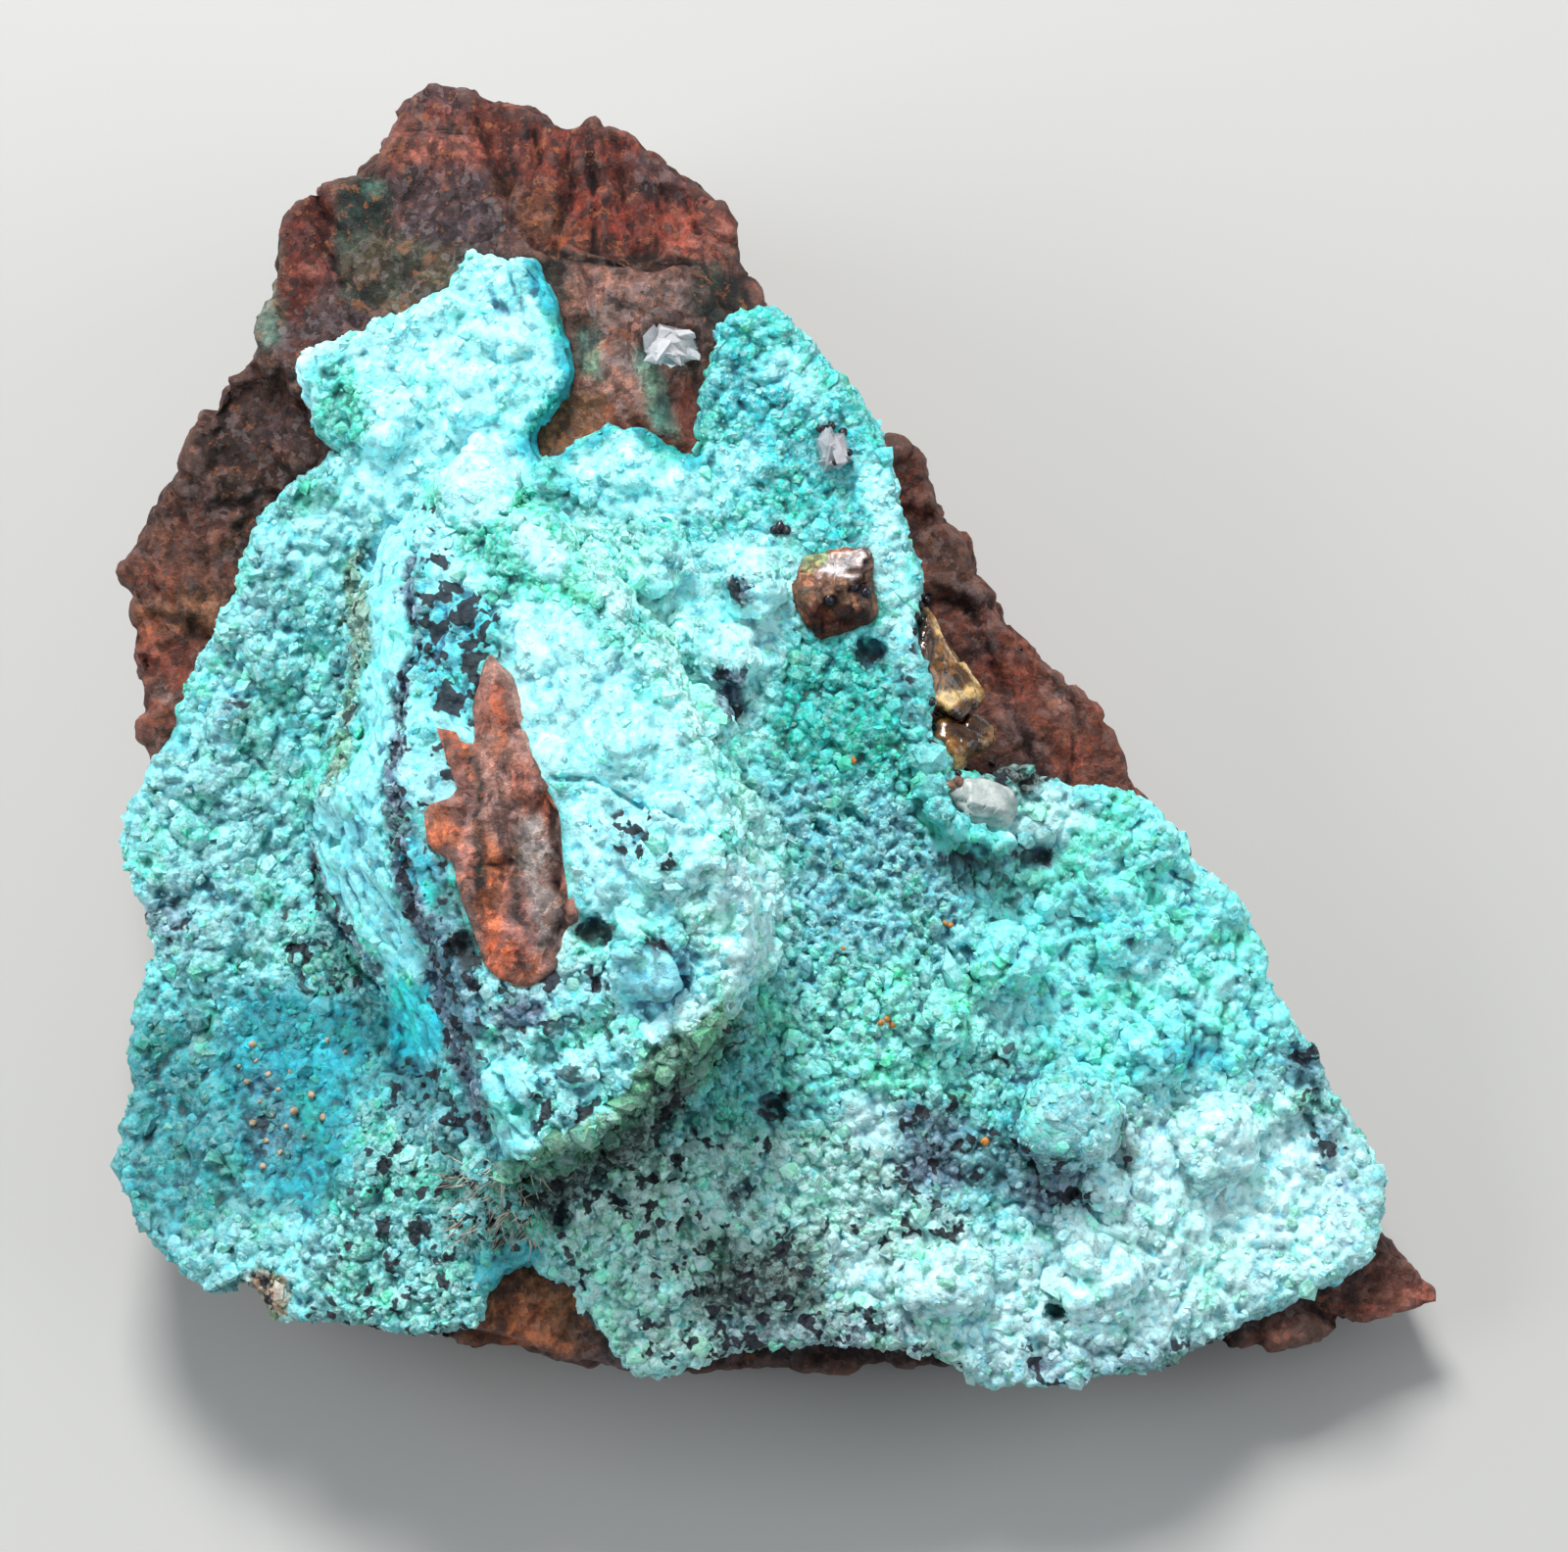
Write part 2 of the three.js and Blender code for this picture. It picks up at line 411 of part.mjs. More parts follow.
// The solid through a stack of rings, lowest first, all with as many points and the same direction.
function loft(stacked) {
  const rings = stacked.map((ring) => (turning(ring) > 0 ? [...ring].reverse() : ring));
  const count = rings[0].length;
  const faces = [];
  for (let level = 0; level + 1 < rings.length; level++) {
    for (let i = 0; i < count; i++) {
      const [a, b] = [level * count + i, level * count + ((i + 1) % count)];
      faces.push([a, a + count, b], [b, a + count, b + count]);
    }
  }
  const cap = (ring) => THREE.ShapeUtils.triangulateShape(ring.map(([u, v]) => new THREE.Vector2(u, v)), []);
  const last = (rings.length - 1) * count;
  const upward = (ring, [a, b, c]) => {
    const [p, q, r] = [ring[a], ring[b], ring[c]];
    return (q[0] - p[0]) * (r[1] - p[1]) - (q[1] - p[1]) * (r[0] - p[0]) > 0;
  };
  for (const face of cap(rings[0])) {
    faces.push(upward(rings[0], face) ? [...face].reverse() : face);
  }
  for (const face of cap(rings[rings.length - 1])) {
    const turned = upward(rings[rings.length - 1], face) ? face : [...face].reverse();
    faces.push(turned.map((i) => i + last));
  }
  return solidOf(meshOfPoints(rings.flat(), faces));
}

// An outline moved outwards by a distance.
const LONGEST_MITRE = 1.6;
function grown(outline, outwards) {
  const distance = turning(outline) > 0 ? -outwards : outwards;
  return outline.map((point, i) => {
    const before = outline[(i + outline.length - 1) % outline.length];
    const after = outline[(i + 1) % outline.length];
    const normals = [[before, point], [point, after]].map(([a, b]) => {
      return new THREE.Vector2(a[1] - b[1], b[0] - a[0]).normalize();
    });
    const outward = normals[0].clone().add(normals[1]).normalize();
    const mitre = Math.min(LONGEST_MITRE, 1 / Math.max(0.3, outward.dot(normals[0])));
    const away = distance * mitre;
    return [point[0] + outward.x * away, point[1] + outward.y * away, ...point.slice(2)];
  });
}

// Rings of one outline at several levels, each scaled about the outline's middle, made uneven and grown.
function stack(outline, levels, uneven, grow) {
  const middle = outline.reduce((sum, p) => [sum[0] + p[0], sum[1] + p[1]], [0, 0]);
  const [mu, mv] = middle.map((value) => value / outline.length);
  return levels.map(({ w, scale }, level) => {
    const last = level === levels.length - 1;
    const ring = outline.map(([u, v]) => {
      const change = scale * (1 + (uneven / 30) * noise(u / 5, v / 5, w / 7));
      const rise = last ? grow : uneven * 0.6 * noise(u / 6, v / 6, w);
      return [mu + (u - mu) * change, mv + (v - mv) * change, w + rise];
    });
    return grown(ring, grow);
  });
}

// A straight cutter with the given outline, between two heights.
function prism(outline, low, high) {
  return loft([low, high].map((w) => outline.map(([u, v]) => [u, v, w])));
}

// Cuts away what lies beyond a flat face through a point.
const CUT_SIZE = 160;
function breakAway(solid, { at, facing }) {
  const block = new THREE.BoxGeometry(CUT_SIZE, CUT_SIZE, CUT_SIZE);
  block.translate(0, 0, CUT_SIZE / 2);
  const outward = new THREE.Vector3(...facing).normalize();
  block.applyQuaternion(new THREE.Quaternion().setFromUnitVectors(new THREE.Vector3(0, 0, 1), outward));
  block.translate(...at);
  return solid.subtract(solidOf(block));
}

// A rounded lump: an icosahedron turned at random.
function lump([u, v, w, radius], seed) {
  const shape = new THREE.IcosahedronGeometry(radius);
  const turns = [1, 2, 3].map((n) => Math.PI * hash(seed, n, 21));
  shape.applyQuaternion(new THREE.Quaternion().setFromEuler(new THREE.Euler(...turns)));
  shape.translate(u, v, w);
  return solidOf(shape);
}

const lean = THREE.MathUtils.degToRad(FACE_LEAN_DEG);

// Straight up and the underside's middle, in the face frame.
const UP = [0, Math.sin(lean), Math.cos(lean)];
const UNDERSIDE = { at: UP.map((share) => -share * BASE_DEPTH), facing: UP.map((share) => -share) };

// One shoulder of the rock. grow moves its outside outwards, for the seat of a piece on it.
function shoulder(one, grow) {
  const { outline, spots } = one;
  const seen = outline.map((point) => asSeen(point, heightFrom(spots, ...point)));
  const sides = loft(stack(seen, SHOULDER_LEVELS, 0.8, grow));
  const step = one.coated ? SEAT_STEP : ROCK_STEP;
  const top = slab(step, (u, v) => rockTop(one, u, v) + grow, () => SHOULDER_LEVELS[0].w - 1);
  return sides.intersect(top);
}

// Points of a closed curve through a ring, spaced evenly, at [u, v, w] as seen.
function smoothRing(ring, count) {
  const points = ring.map(([u, v, w]) => new THREE.Vector3(...asSeen([u, v], w), w));
  const curve = new THREE.CatmullRomCurve3(points, true, "centripetal");
  return Array.from({ length: count }, (_, i) => curve.getPoint(i / count).toArray());
}

// The rock in the fin, as high as its top. grow moves its sides outwards, for its seat.
function finCore(grow) {
  const sides = loft(stack(finWindow(), FIN_CORE_LEVELS, 0, grow));
  const top = slab(FIN_CORE_STEP, (u, v) => finTop(u, v) + finRidges(u, v) + grow, () => -17);
  return sides.intersect(top);
}

function finWindow() {
  return FIN_WINDOW.map((point) => asSeen(point, 8));
}

// The fin's broken top.
function finTop(u, v) {
  return heightFrom(FIN_SPOTS, u, v) + 0.3 * noise(u / 2.4, v / 2.4, 2.5);
}

// Ridges that run along the rock where it shows in the fin.
function finRidges(u, v) {
  return 0.2 + 0.7 * noise((u + 0.12 * v) / 1.5, (v + 0.25 * u) / 5, 4.5);
}

function rock(grow) {
  const body = loft(stack(BODY_OUTLINE.map((point) => asSeen(point, -12)), BODY_LEVELS, 1.1, grow));
  let solid = joined([body, ...Object.values(SHOULDERS).map((one) => shoulder(one, grow)), finCore(grow)]);
  for (const face of BREAKS) {
    const outward = new THREE.Vector3(...face.facing).normalize();
    const at = face.at.map((value, axis) => value + grow * outward.getComponent(axis));
    solid = breakAway(solid, { at, facing: face.facing });
  }
  return breakAway(solid, UNDERSIDE);
}

// The fin: its sides, up to its top.
function fin() {
  const [foot, belly, shoulderRing] = [FIN_FOOT, FIN_BELLY, FIN_SHOULDER].map((r) => smoothRing(r, FIN_AROUND));
  const between = (a, b, share) => a.map((p, i) => {
    const rough = 0.04 * noise(p[0] / 2.2, p[1] / 2.2, 7 * share + p[2] / 3);
    const [u, v, w] = p.map((value, axis) => value + (b[i][axis] - value) * share);
    return [u * (1 + rough), v * (1 + rough), w];
  });
  const lid = shoulderRing.map(([u, v]) => [u, v, FIN_LID_W]);
  const sides = loft([foot, between(foot, belly, 0.6), belly, between(belly, shoulderRing, 0.5), shoulderRing, lid]);
  return sides.intersect(slab(FIN_STEP, finTop, () => -25));
}

// Small lumps all over the crust, away from its edge and the fin.
function scatteredLumps(outline) {
  const inside = (u, v, margin) => [[1, 0], [-1, 0], [0, 1], [0, -1]].every(([du, dv]) => {
    return within(outline, u + du * margin, v + dv * margin);
  });
  const made = [];
  for (let v = -30; v < 27; v += LUMP_SPACING) {
    for (let u = -33; u < 31; u += LUMP_SPACING) {
      const seed = Math.round(u * 10) * 1000 + Math.round(v * 10);
      const [lu, lv] = [u + LUMP_SPACING * (hash(seed, 1, 5) - 0.5), v + LUMP_SPACING * (hash(seed, 2, 5) - 0.5)];
      if (!inside(lu, lv, 1.4) || within(FIN_BELLY, lu, lv) || hash(seed, 3, 5) < 0.3) continue;
      const radius = 1 + 0.8 * hash(seed, 4, 5);
      made.push(lump([lu, lv, crustTop(lu, lv) - 0.2 * radius, radius], seed));
    }
  }
  return made;
}

// Whether (u, v) is within a closed outline.
function within(outline, u, v) {
  let odd = false;
  outline.forEach(([au, av], i) => {
    const [bu, bv] = outline[(i + 1) % outline.length];
    if (av > v !== bv > v && u < au + ((bu - au) * (v - av)) / (bv - av)) odd = !odd;
  });
  return odd;
}

function frill() {
  const ring = smoothRing(FIN_BELLY, FIN_AROUND);
  return Array.from({ length: FRILL.count }, (_, n) => {
    const share = FRILL.from + ((FRILL.to - FRILL.from) * n) / (FRILL.count - 1);
    const [u, v, w] = ring[Math.floor(share * FIN_AROUND)];
    const radius = FRILL.radius * (0.75 + 0.5 * hash(n, 8, 8));
    return lump([u - 0.4, v + 0.3, w - 0.6 + 1.2 * hash(n, 9, 9), radius], n + 400);
  });
}

function needles() {
  return Array.from({ length: SPRAY.count }, (_, n) => {
    const length = SPRAY.length * (0.65 + 0.35 * hash(n, 4, 31));
    const shape = new THREE.CylinderGeometry(SPRAY.radius * 0.5, SPRAY.radius, length, SPRAY.sides);
    shape.translate(0, length / 2, 0);
    const turn = -1.9 + (2.6 * n) / (SPRAY.count - 1);
    const rise = 0.25 + 0.35 * hash(n, 5, 31);
    const along = new THREE.Vector3(Math.cos(turn) * Math.cos(rise), Math.sin(turn) * Math.cos(rise), Math.sin(rise));
    shape.applyQuaternion(new THREE.Quaternion().setFromUnitVectors(new THREE.Vector3(0, 1, 0), along));
    shape.translate(...SPRAY.at);
    return solidOf(shape);
  });
}

// A grain or crystal with flat faces. grow moves its corners outwards, for its seat.
function grain(corners, grow) {
  const points = corners.map((corner) => new THREE.Vector3(...corner));
  const middle = points.reduce((sum, p) => sum.clone().add(p)).divideScalar(points.length);
  const moved = points.map((p) => {
    const outward = p.clone().sub(middle);
    return p.clone().add(outward.setLength(grow * 1.7));
  });
  return solidOf(new ConvexGeometry(moved));
}

function crust() {
  const outline = CRUST_OUTLINE.map((point) => asSeen(point, heightFrom(CRUST_SPOTS, ...point)));
  const surface = slab(CRUST_STEP, crustTop, () => -30);
  const skirt = slab(UNDERSIDE_STEP, () => 30, (u, v) => heightFrom(CRUST_SPOTS, u, v) - CRUST_SKIRT);
  const raised = [
    prism(outline, -25, 25).intersect(surface).intersect(skirt),
    fin(),
    ...MOUNDS.map((mound, n) => lump(mound, n + 200)),
    ...LIP.map(([u, v, w], n) => lump([u, v, w, LIP_RADIUS], n + 300)),
    ...frill(),
    ...scatteredLumps(outline),
    ...needles(),
  ];
  const window = prism(grown(finWindow(), SEAT_GAP), 4, 20);
  const hollows = HOLLOWS.map((hollow, n) => lump(hollow, n + 500));
  return joined(raised).subtract(joined([window, ...hollows]));
}

const GRAINS = {
  rock_chip: { corners: CHIP_CORNERS, look: CHIP },
  amber_grain_upper: { corners: UPPER_AMBER_CORNERS, look: AMBER },
  amber_grain_lower: { corners: LOWER_AMBER_CORNERS, look: AMBER },
  milky_grain: { corners: MILKY_CORNERS, look: MILKY },
  clear_crystal_top: { corners: TOP_CRYSTAL_CORNERS, look: CLEAR },
  clear_crystal_right: { corners: RIGHT_CRYSTAL_CORNERS, look: CLEAR },
};

function specimen() {
  const seats = joined(Object.values(GRAINS).map(({ corners }) => grain(corners, SEAT_GAP)));
  const rockHoles = joined(ROCK_HOLES.map((hole, n) => lump(hole, n + 600)));
  const shapes = {
    matrix: [biggest(rock(0).subtract(joined([seats, rockHoles]))), ROCK],
    hemimorphite_crust: [biggest(crust().subtract(rock(SEAT_GAP)).subtract(seats)), CRUST],
  };
  for (const [name, { corners, look }] of Object.entries(GRAINS)) {
    shapes[name] = [grain(corners, 0), look];
  }
  const leaning = new THREE.Group();
  for (const [name, [solid, look]] of Object.entries(shapes)) {
    const mesh = new THREE.Mesh(geometryOf(solid), new THREE.MeshStandardMaterial(look));
    mesh.name = name;
    leaning.add(mesh);
  }
  leaning.rotation.x = lean;
  const group = new THREE.Group();
  group.add(leaning);
  group.updateMatrixWorld(true);
  const box = new THREE.Box3().setFromObject(group, true);
  leaning.position.set(-(box.min.x + box.max.x) / 2, -(box.min.y + box.max.y) / 2, -box.min.z);
  return group;
}

export default specimen();
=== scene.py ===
"""A hemimorphite specimen, dressed: blue-green crust on iron-stained rock, with its grains and crystals."""
import math

import bmesh
import bpy
import numpy as np
from mathutils import Matrix, Vector
from mathutils.bvhtree import BVHTree


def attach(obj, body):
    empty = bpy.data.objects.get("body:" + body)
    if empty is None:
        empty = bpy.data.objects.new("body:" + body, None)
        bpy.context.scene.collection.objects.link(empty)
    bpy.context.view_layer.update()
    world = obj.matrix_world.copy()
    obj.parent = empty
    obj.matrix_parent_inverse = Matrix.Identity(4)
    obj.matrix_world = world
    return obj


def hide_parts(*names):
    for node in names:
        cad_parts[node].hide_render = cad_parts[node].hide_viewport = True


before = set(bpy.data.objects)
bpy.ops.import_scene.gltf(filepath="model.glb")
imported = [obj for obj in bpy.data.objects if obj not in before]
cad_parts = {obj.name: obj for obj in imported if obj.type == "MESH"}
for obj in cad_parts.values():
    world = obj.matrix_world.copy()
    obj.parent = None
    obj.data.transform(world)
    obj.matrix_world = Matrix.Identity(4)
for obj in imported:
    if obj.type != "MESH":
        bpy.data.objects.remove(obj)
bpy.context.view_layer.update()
MM = 0.001
FAR = 1e9
TINY = 1e-9

# The face frame: u to the right, v up the crusted face, w out of it, in mm. It leans forward by LEAN.
LEAN = math.radians(15)
FACE_ORIGIN = np.array([-0.0554, -4.968, 24.0])
ALONG_V = np.array([0, math.cos(LEAN), math.sin(LEAN)])
ALONG_W = np.array([0, -math.sin(LEAN), math.cos(LEAN)])

# The photograph is taken straight onto the face, from EYE_DISTANCE, and shows FIELD mm across.
EYE_DISTANCE = 330.0
FIELD = 80.0
PICTURE = (1600, 1584)
PER_MM = PICTURE[0] / FIELD

# Fineness of the meshes, in mm, and the most triangles of the big ones
FINE = {"crust": 0.16, "rock": 0.25, "grain": 0.11}
VOXEL = FINE
MOST_FACES = {"crust": 372000, "rock": 176000}
MOST_GRAINS = 20000
HALFWAY = -6.0  # where the crust's mesh is shared out over a left and a right piece
EDGE = 99.0  # past the specimen's edge
CLOSING = 0.33  # how far the crust spreads over the gap to its neighbours, in mm
NEAR = 0.8  # how close to its neighbours it does so, in mm
JOINED = 0.5  # how close to them the relief ends, in mm
DEEPEST, HIGHEST = -0.9, 0.75  # limits of the relief, in mm
RELIEF_ROUNDS = 12  # how widely a mesh is blurred to find its hollows and tips
NEEDLES = 230
SPRAY = (466, 548), (1190, 1262)  # the box of the needles' feet, in the photograph's pixels
SPRAY_ROOT = (540, 1190)  # the place that they point away from


def to_face(points):
    """Points in the row frame, in metres, as (u, v, w)."""
    d = points / MM - FACE_ORIGIN
    return np.stack([d[:, 0], d @ ALONG_V, d @ ALONG_W], axis=1)


def from_face(points):
    points = np.asarray(points, float).reshape(-1, 3)
    u = np.outer(points[:, 0], [1, 0, 0])
    return (u + np.outer(points[:, 1], ALONG_V) + np.outer(points[:, 2], ALONG_W) + FACE_ORIGIN) * MM


def in_picture(face_points):
    """Where points of the face frame are in the photograph, in its pixels."""
    share = EYE_DISTANCE / (EYE_DISTANCE - face_points[:, 2])
    across = PICTURE[0] / 2 + PER_MM * face_points[:, 0] * share
    down = PICTURE[1] / 2 - PER_MM * face_points[:, 1] * share
    return np.stack([across, down], axis=1)


# Noise

def hashed(cell, seed):
    """A number from 0 to 1 that is fixed for each whole cell (x, y, z) and seed."""
    c = cell.astype(np.int64)
    h = (c[..., 0] * 73856093) ^ (c[..., 1] * 19349663) ^ (c[..., 2] * 83492791) ^ (seed * 2654435761)
    h = (h ^ (h >> 13)) & 0xFFFFFFFF
    h = (h * 1274126177) & 0xFFFFFFFF
    h = (h ^ (h >> 16)) & 0xFFFFFFFF
    h = (h * 2246822519) & 0xFFFFFFFF
    return ((h ^ (h >> 15)) & 0xFFFFFF) / float(0xFFFFFF)


def noise(points, size, seed, octaves=1):
    """Smooth noise from -1 to 1 with features of the given size, in mm."""
    total = np.zeros(len(points))
    weight = 0.0
    for octave in range(octaves):
        p = points * (2**octave) / size + 31.7 * octave
        base = np.floor(p)
        f = p - base
        f = f * f * (3 - 2 * f)
        value = np.zeros(len(points))
        for corner in np.ndindex(2, 2, 2):
            offset = np.array(corner)
            share = np.prod(np.where(offset, f, 1 - f), axis=1)
            value += share * hashed(base + offset, seed + octave)
        total += (2 * value - 1) * 0.5**octave
        weight += 0.5**octave
    return total / weight


def pushes(points, size, seeds):
    """Noise in as many directions as there are seeds."""
    return np.stack([noise(points, size, seed, 2) for seed in seeds], axis=1)


def warped(points, size, amount, seed):
    """Points pushed about by noise, by up to the given amount in mm."""
    return points + amount * pushes(points, size, range(seed, seed + 3))


def cellular(points, size, seed):
    """Distances to the nearest of scattered seeds, in sizes, and the nearest's cell."""
    p = points / size
    base = np.floor(p)
    first = np.full(len(p), 9.0)
    nearest = np.zeros_like(p)
    for offset in np.ndindex(3, 3, 3):
        cell = base + np.array(offset) - 1
        spot = cell + np.stack([hashed(cell, seed + k) for k in range(3)], axis=1)
        distance = np.linalg.norm(p - spot, axis=1)
        closer = distance < first
        nearest[closer] = cell[closer]
        first = np.where(closer, distance, first)
    return first, nearest


def bumps(points, size, seed):
    """Rounded lumps from 0 to 1, about one size across, and a number from 0 to 1 for each lump."""
    first, cell = cellular(points, size, seed)
    return np.clip(1 - (first / 0.85) ** 2, 0, 1), hashed(cell, seed + 5)


def facets(points, size, seed):
    """Flat broken faces: each cell is a plane of its own tilt, from about -1 to 1."""
    _, cell = cellular(points, size, seed)
    tilt = np.stack([hashed(cell, seed + 7 + k) for k in range(3)], axis=1) * 2 - 1
    step = hashed(cell, seed + 11) * 2 - 1
    inside = points / size - cell - 0.5
    return 0.6 * np.sum(tilt * inside, axis=1) + 0.5 * step


# Zones: patches of the picture, painted over each other in order

def rows(text):
    """The rows of a table. Each starts with a name, and the words up to the next name are its numbers."""
    table = []
    for word in text.split():
        if word[0].isalpha():
            table.append([word])
        else:
            table[-1].append(float(word))
    return table


def kinds_from(text):
    return {name: numbers for name, *numbers in rows(text)}


def from_side(points, a, b):
    """Distances of points from the straight line between a and b."""
    side = b - a
    t = np.clip((points - a) @ side / max(side @ side, TINY), 0, 1)
    return np.linalg.norm(points - a - t[:, None] * side, axis=1)


def away_from(polygon, points):
    """Signed distance in pixels to a closed polygon: below zero within it."""
    nearest = np.full(len(points), FAR)
    inside = np.zeros(len(points), bool)
    for a, b in zip(polygon, np.roll(polygon, -1, axis=0)):
        nearest = np.minimum(nearest, from_side(points, a, b))
        crosses = (a[1] > points[:, 1]) != (b[1] > points[:, 1])
        rise = b[1] - a[1] if abs(b[1] - a[1]) > TINY else TINY
        inside ^= crosses & (points[:, 0] < a[0] + (b - a)[0] * (points[:, 1] - a[1]) / rise)
    return np.where(inside, -nearest, nearest)


def outline(numbers):
    """A zone's corners, from x and y of each, or from an ellipse's x, y, half width and half height."""
    if len(numbers) > 4:
        return np.reshape(numbers, (-1, 2))
    x, y, across, down = numbers
    angles = np.linspace(0, 2 * math.pi, 14, endpoint=False)
    return np.array([(x + across * math.cos(t), y + down * math.sin(t)) for t in angles])


def within(pixels, corners, margin):
    """Which pixels are in the box round the corners, with a margin."""
    low, high = corners.min(0) - margin, corners.max(0) + margin
    return np.all((pixels > low) & (pixels < high), axis=1)


def painted(base, kinds, zones, face):
    """The channels of each point, from the base kind and the zones."""
    # places pushed about by coarse and fine noise, so that the zones have ragged edges
    pixels = in_picture(face) + (9 * pushes(face, 1.6, (3, 8)) + 7 * pushes(face, 0.5, (13, 18)))
    channels = np.tile(np.array(kinds[base], float), (len(pixels), 1))
    for kind, feather, strength, *numbers in zones:
        corners = outline(numbers)
        near = within(pixels, corners, feather)
        mask = np.clip(0.5 - away_from(corners, pixels[near]) / (2 * feather), 0, 1)
        mask = (strength * mask * mask * (3 - 2 * mask))[:, None]
        channels[near] = channels[near] * (1 - mask) + np.array(kinds[kind], float) * mask
    return channels


# The near-white kind of crust that zones lay on slopes in shade is painted light
# Kinds of crust: red, green, blue; frost, specks, gloss; height in mm of mounds, lumps, grains, ridges
# and flakes; the share of it that loose grains cover, and their radius in mm
CRUST_KINDS = kinds_from("""
aqua .12 .62 .64 .45 .1 .25 .3 .28 .2 0 0 .55 .22
pale_aqua .26 .66 .7 .6 .05 .1 .6 .32 .2 0 0 .55 .26
icy .4 .94 .98 .9 0 .1 .45 .24 .13 0 .15 .25 .2
bright .62 .99 1 .9 0 .1 .3 .22 .13 0 .1 .2 .2
rim .008 .38 .45 .1 0 .4 .1 .15 .1 0 .2 .15 .18
teal .035 .55 .6 .55 .05 .5 .2 .26 .22 0 0 .7 .2
frosted .42 .95 .99 1 .1 .1 .2 .22 .18 0 0 .4 .17
sea_green .008 .53 .48 .4 0 .45 .2 .34 .26 0 0 .8 .21
coral .2 .62 .7 .6 .1 .25 .15 .22 .2 .34 0 .55 .17
green_grains .32 .98 .9 .5 .05 .35 .25 .42 .26 .12 0 1 .25
aqua_green .24 .92 .92 .5 0 .2 .75 .36 .18 0 0 .6 .28
cyan .015 .46 .56 .1 0 .3 .25 .26 .16 0 0 .4 .26
grey_white .6 .94 .97 .8 .05 .1 .7 .36 .17 0 0 .55 .27
grey_green .5 .74 .68 .8 .28 .15 .4 .4 .26 .15 0 .85 .22
grey_grains .15 .53 .53 .7 .25 .2 .3 .42 .26 .1 0 1.1 .23
violet .13 .16 .26 .35 .4 .2 .3 .36 .24 .1 0 .5 .2
black .006 .01 .016 0 .3 .4 .1 .2 .2 .1 0 .15 .2
deep .002 .31 .38 .1 0 .4 .25 .22 .18 0 0 .4 .2
dim_teal .018 .25 .28 .3 0 .2 .5 .3 .16 0 0 .4 .3
wall .29 .93 .99 .6 0 .25 .15 .1 .05 0 .55 .02 .18
strip .03 .78 .92 .15 0 .6 .1 .05 .03 0 .3 0 .18
olive .2 .3 .19 .5 .2 .2 .2 .3 .26 0 .2 1.1 .24
spotted .07 .56 .67 .4 1 .3 .2 .22 .18 0 .35 .15 .18
dotted .34 .86 .95 .8 .35 .2 .25 .2 .15 0 .25 .15 .18
green_skin .1 .66 .5 .5 0 .25 .3 .3 .24 0 0 .6 .22
pale_green .5 .99 .95 .85 0 .2 .35 .4 .24 0 0 .8 .26
yellow_green .17 .4 .24 .6 .1 .25 .3 .5 .26 0 0 1.2 .4
slate .06 .21 .29 .4 .35 .4 .15 .2 .16 .1 .5 .15 .18
lumpy_blue .36 .94 .99 .7 .15 .3 .45 .34 .2 0 .4 .5 .24
glassy .24 .66 .76 .15 .1 .6 .15 .08 .06 0 .15 .1 .18
umber .018 .016 .012 .4 .4 .2 .3 .34 .26 .1 0 .6 .22
rusty .42 .21 .12 .4 .3 .1 .3 .3 .24 0 0 .4 .24
lip .1 .66 .62 .4 0 .4 0 .06 .1 0 0 .15 .16
moss .05 .2 .12 .3 .2 .2 .2 .34 .26 0 0 .8 .24
""")
COLOUR, FINISH, SHAPE = slice(0, 3), slice(3, 6), slice(6, 11)
FROST, GRAIN_HEIGHT, COVER, RADIUS = 3, 8, 11, 12
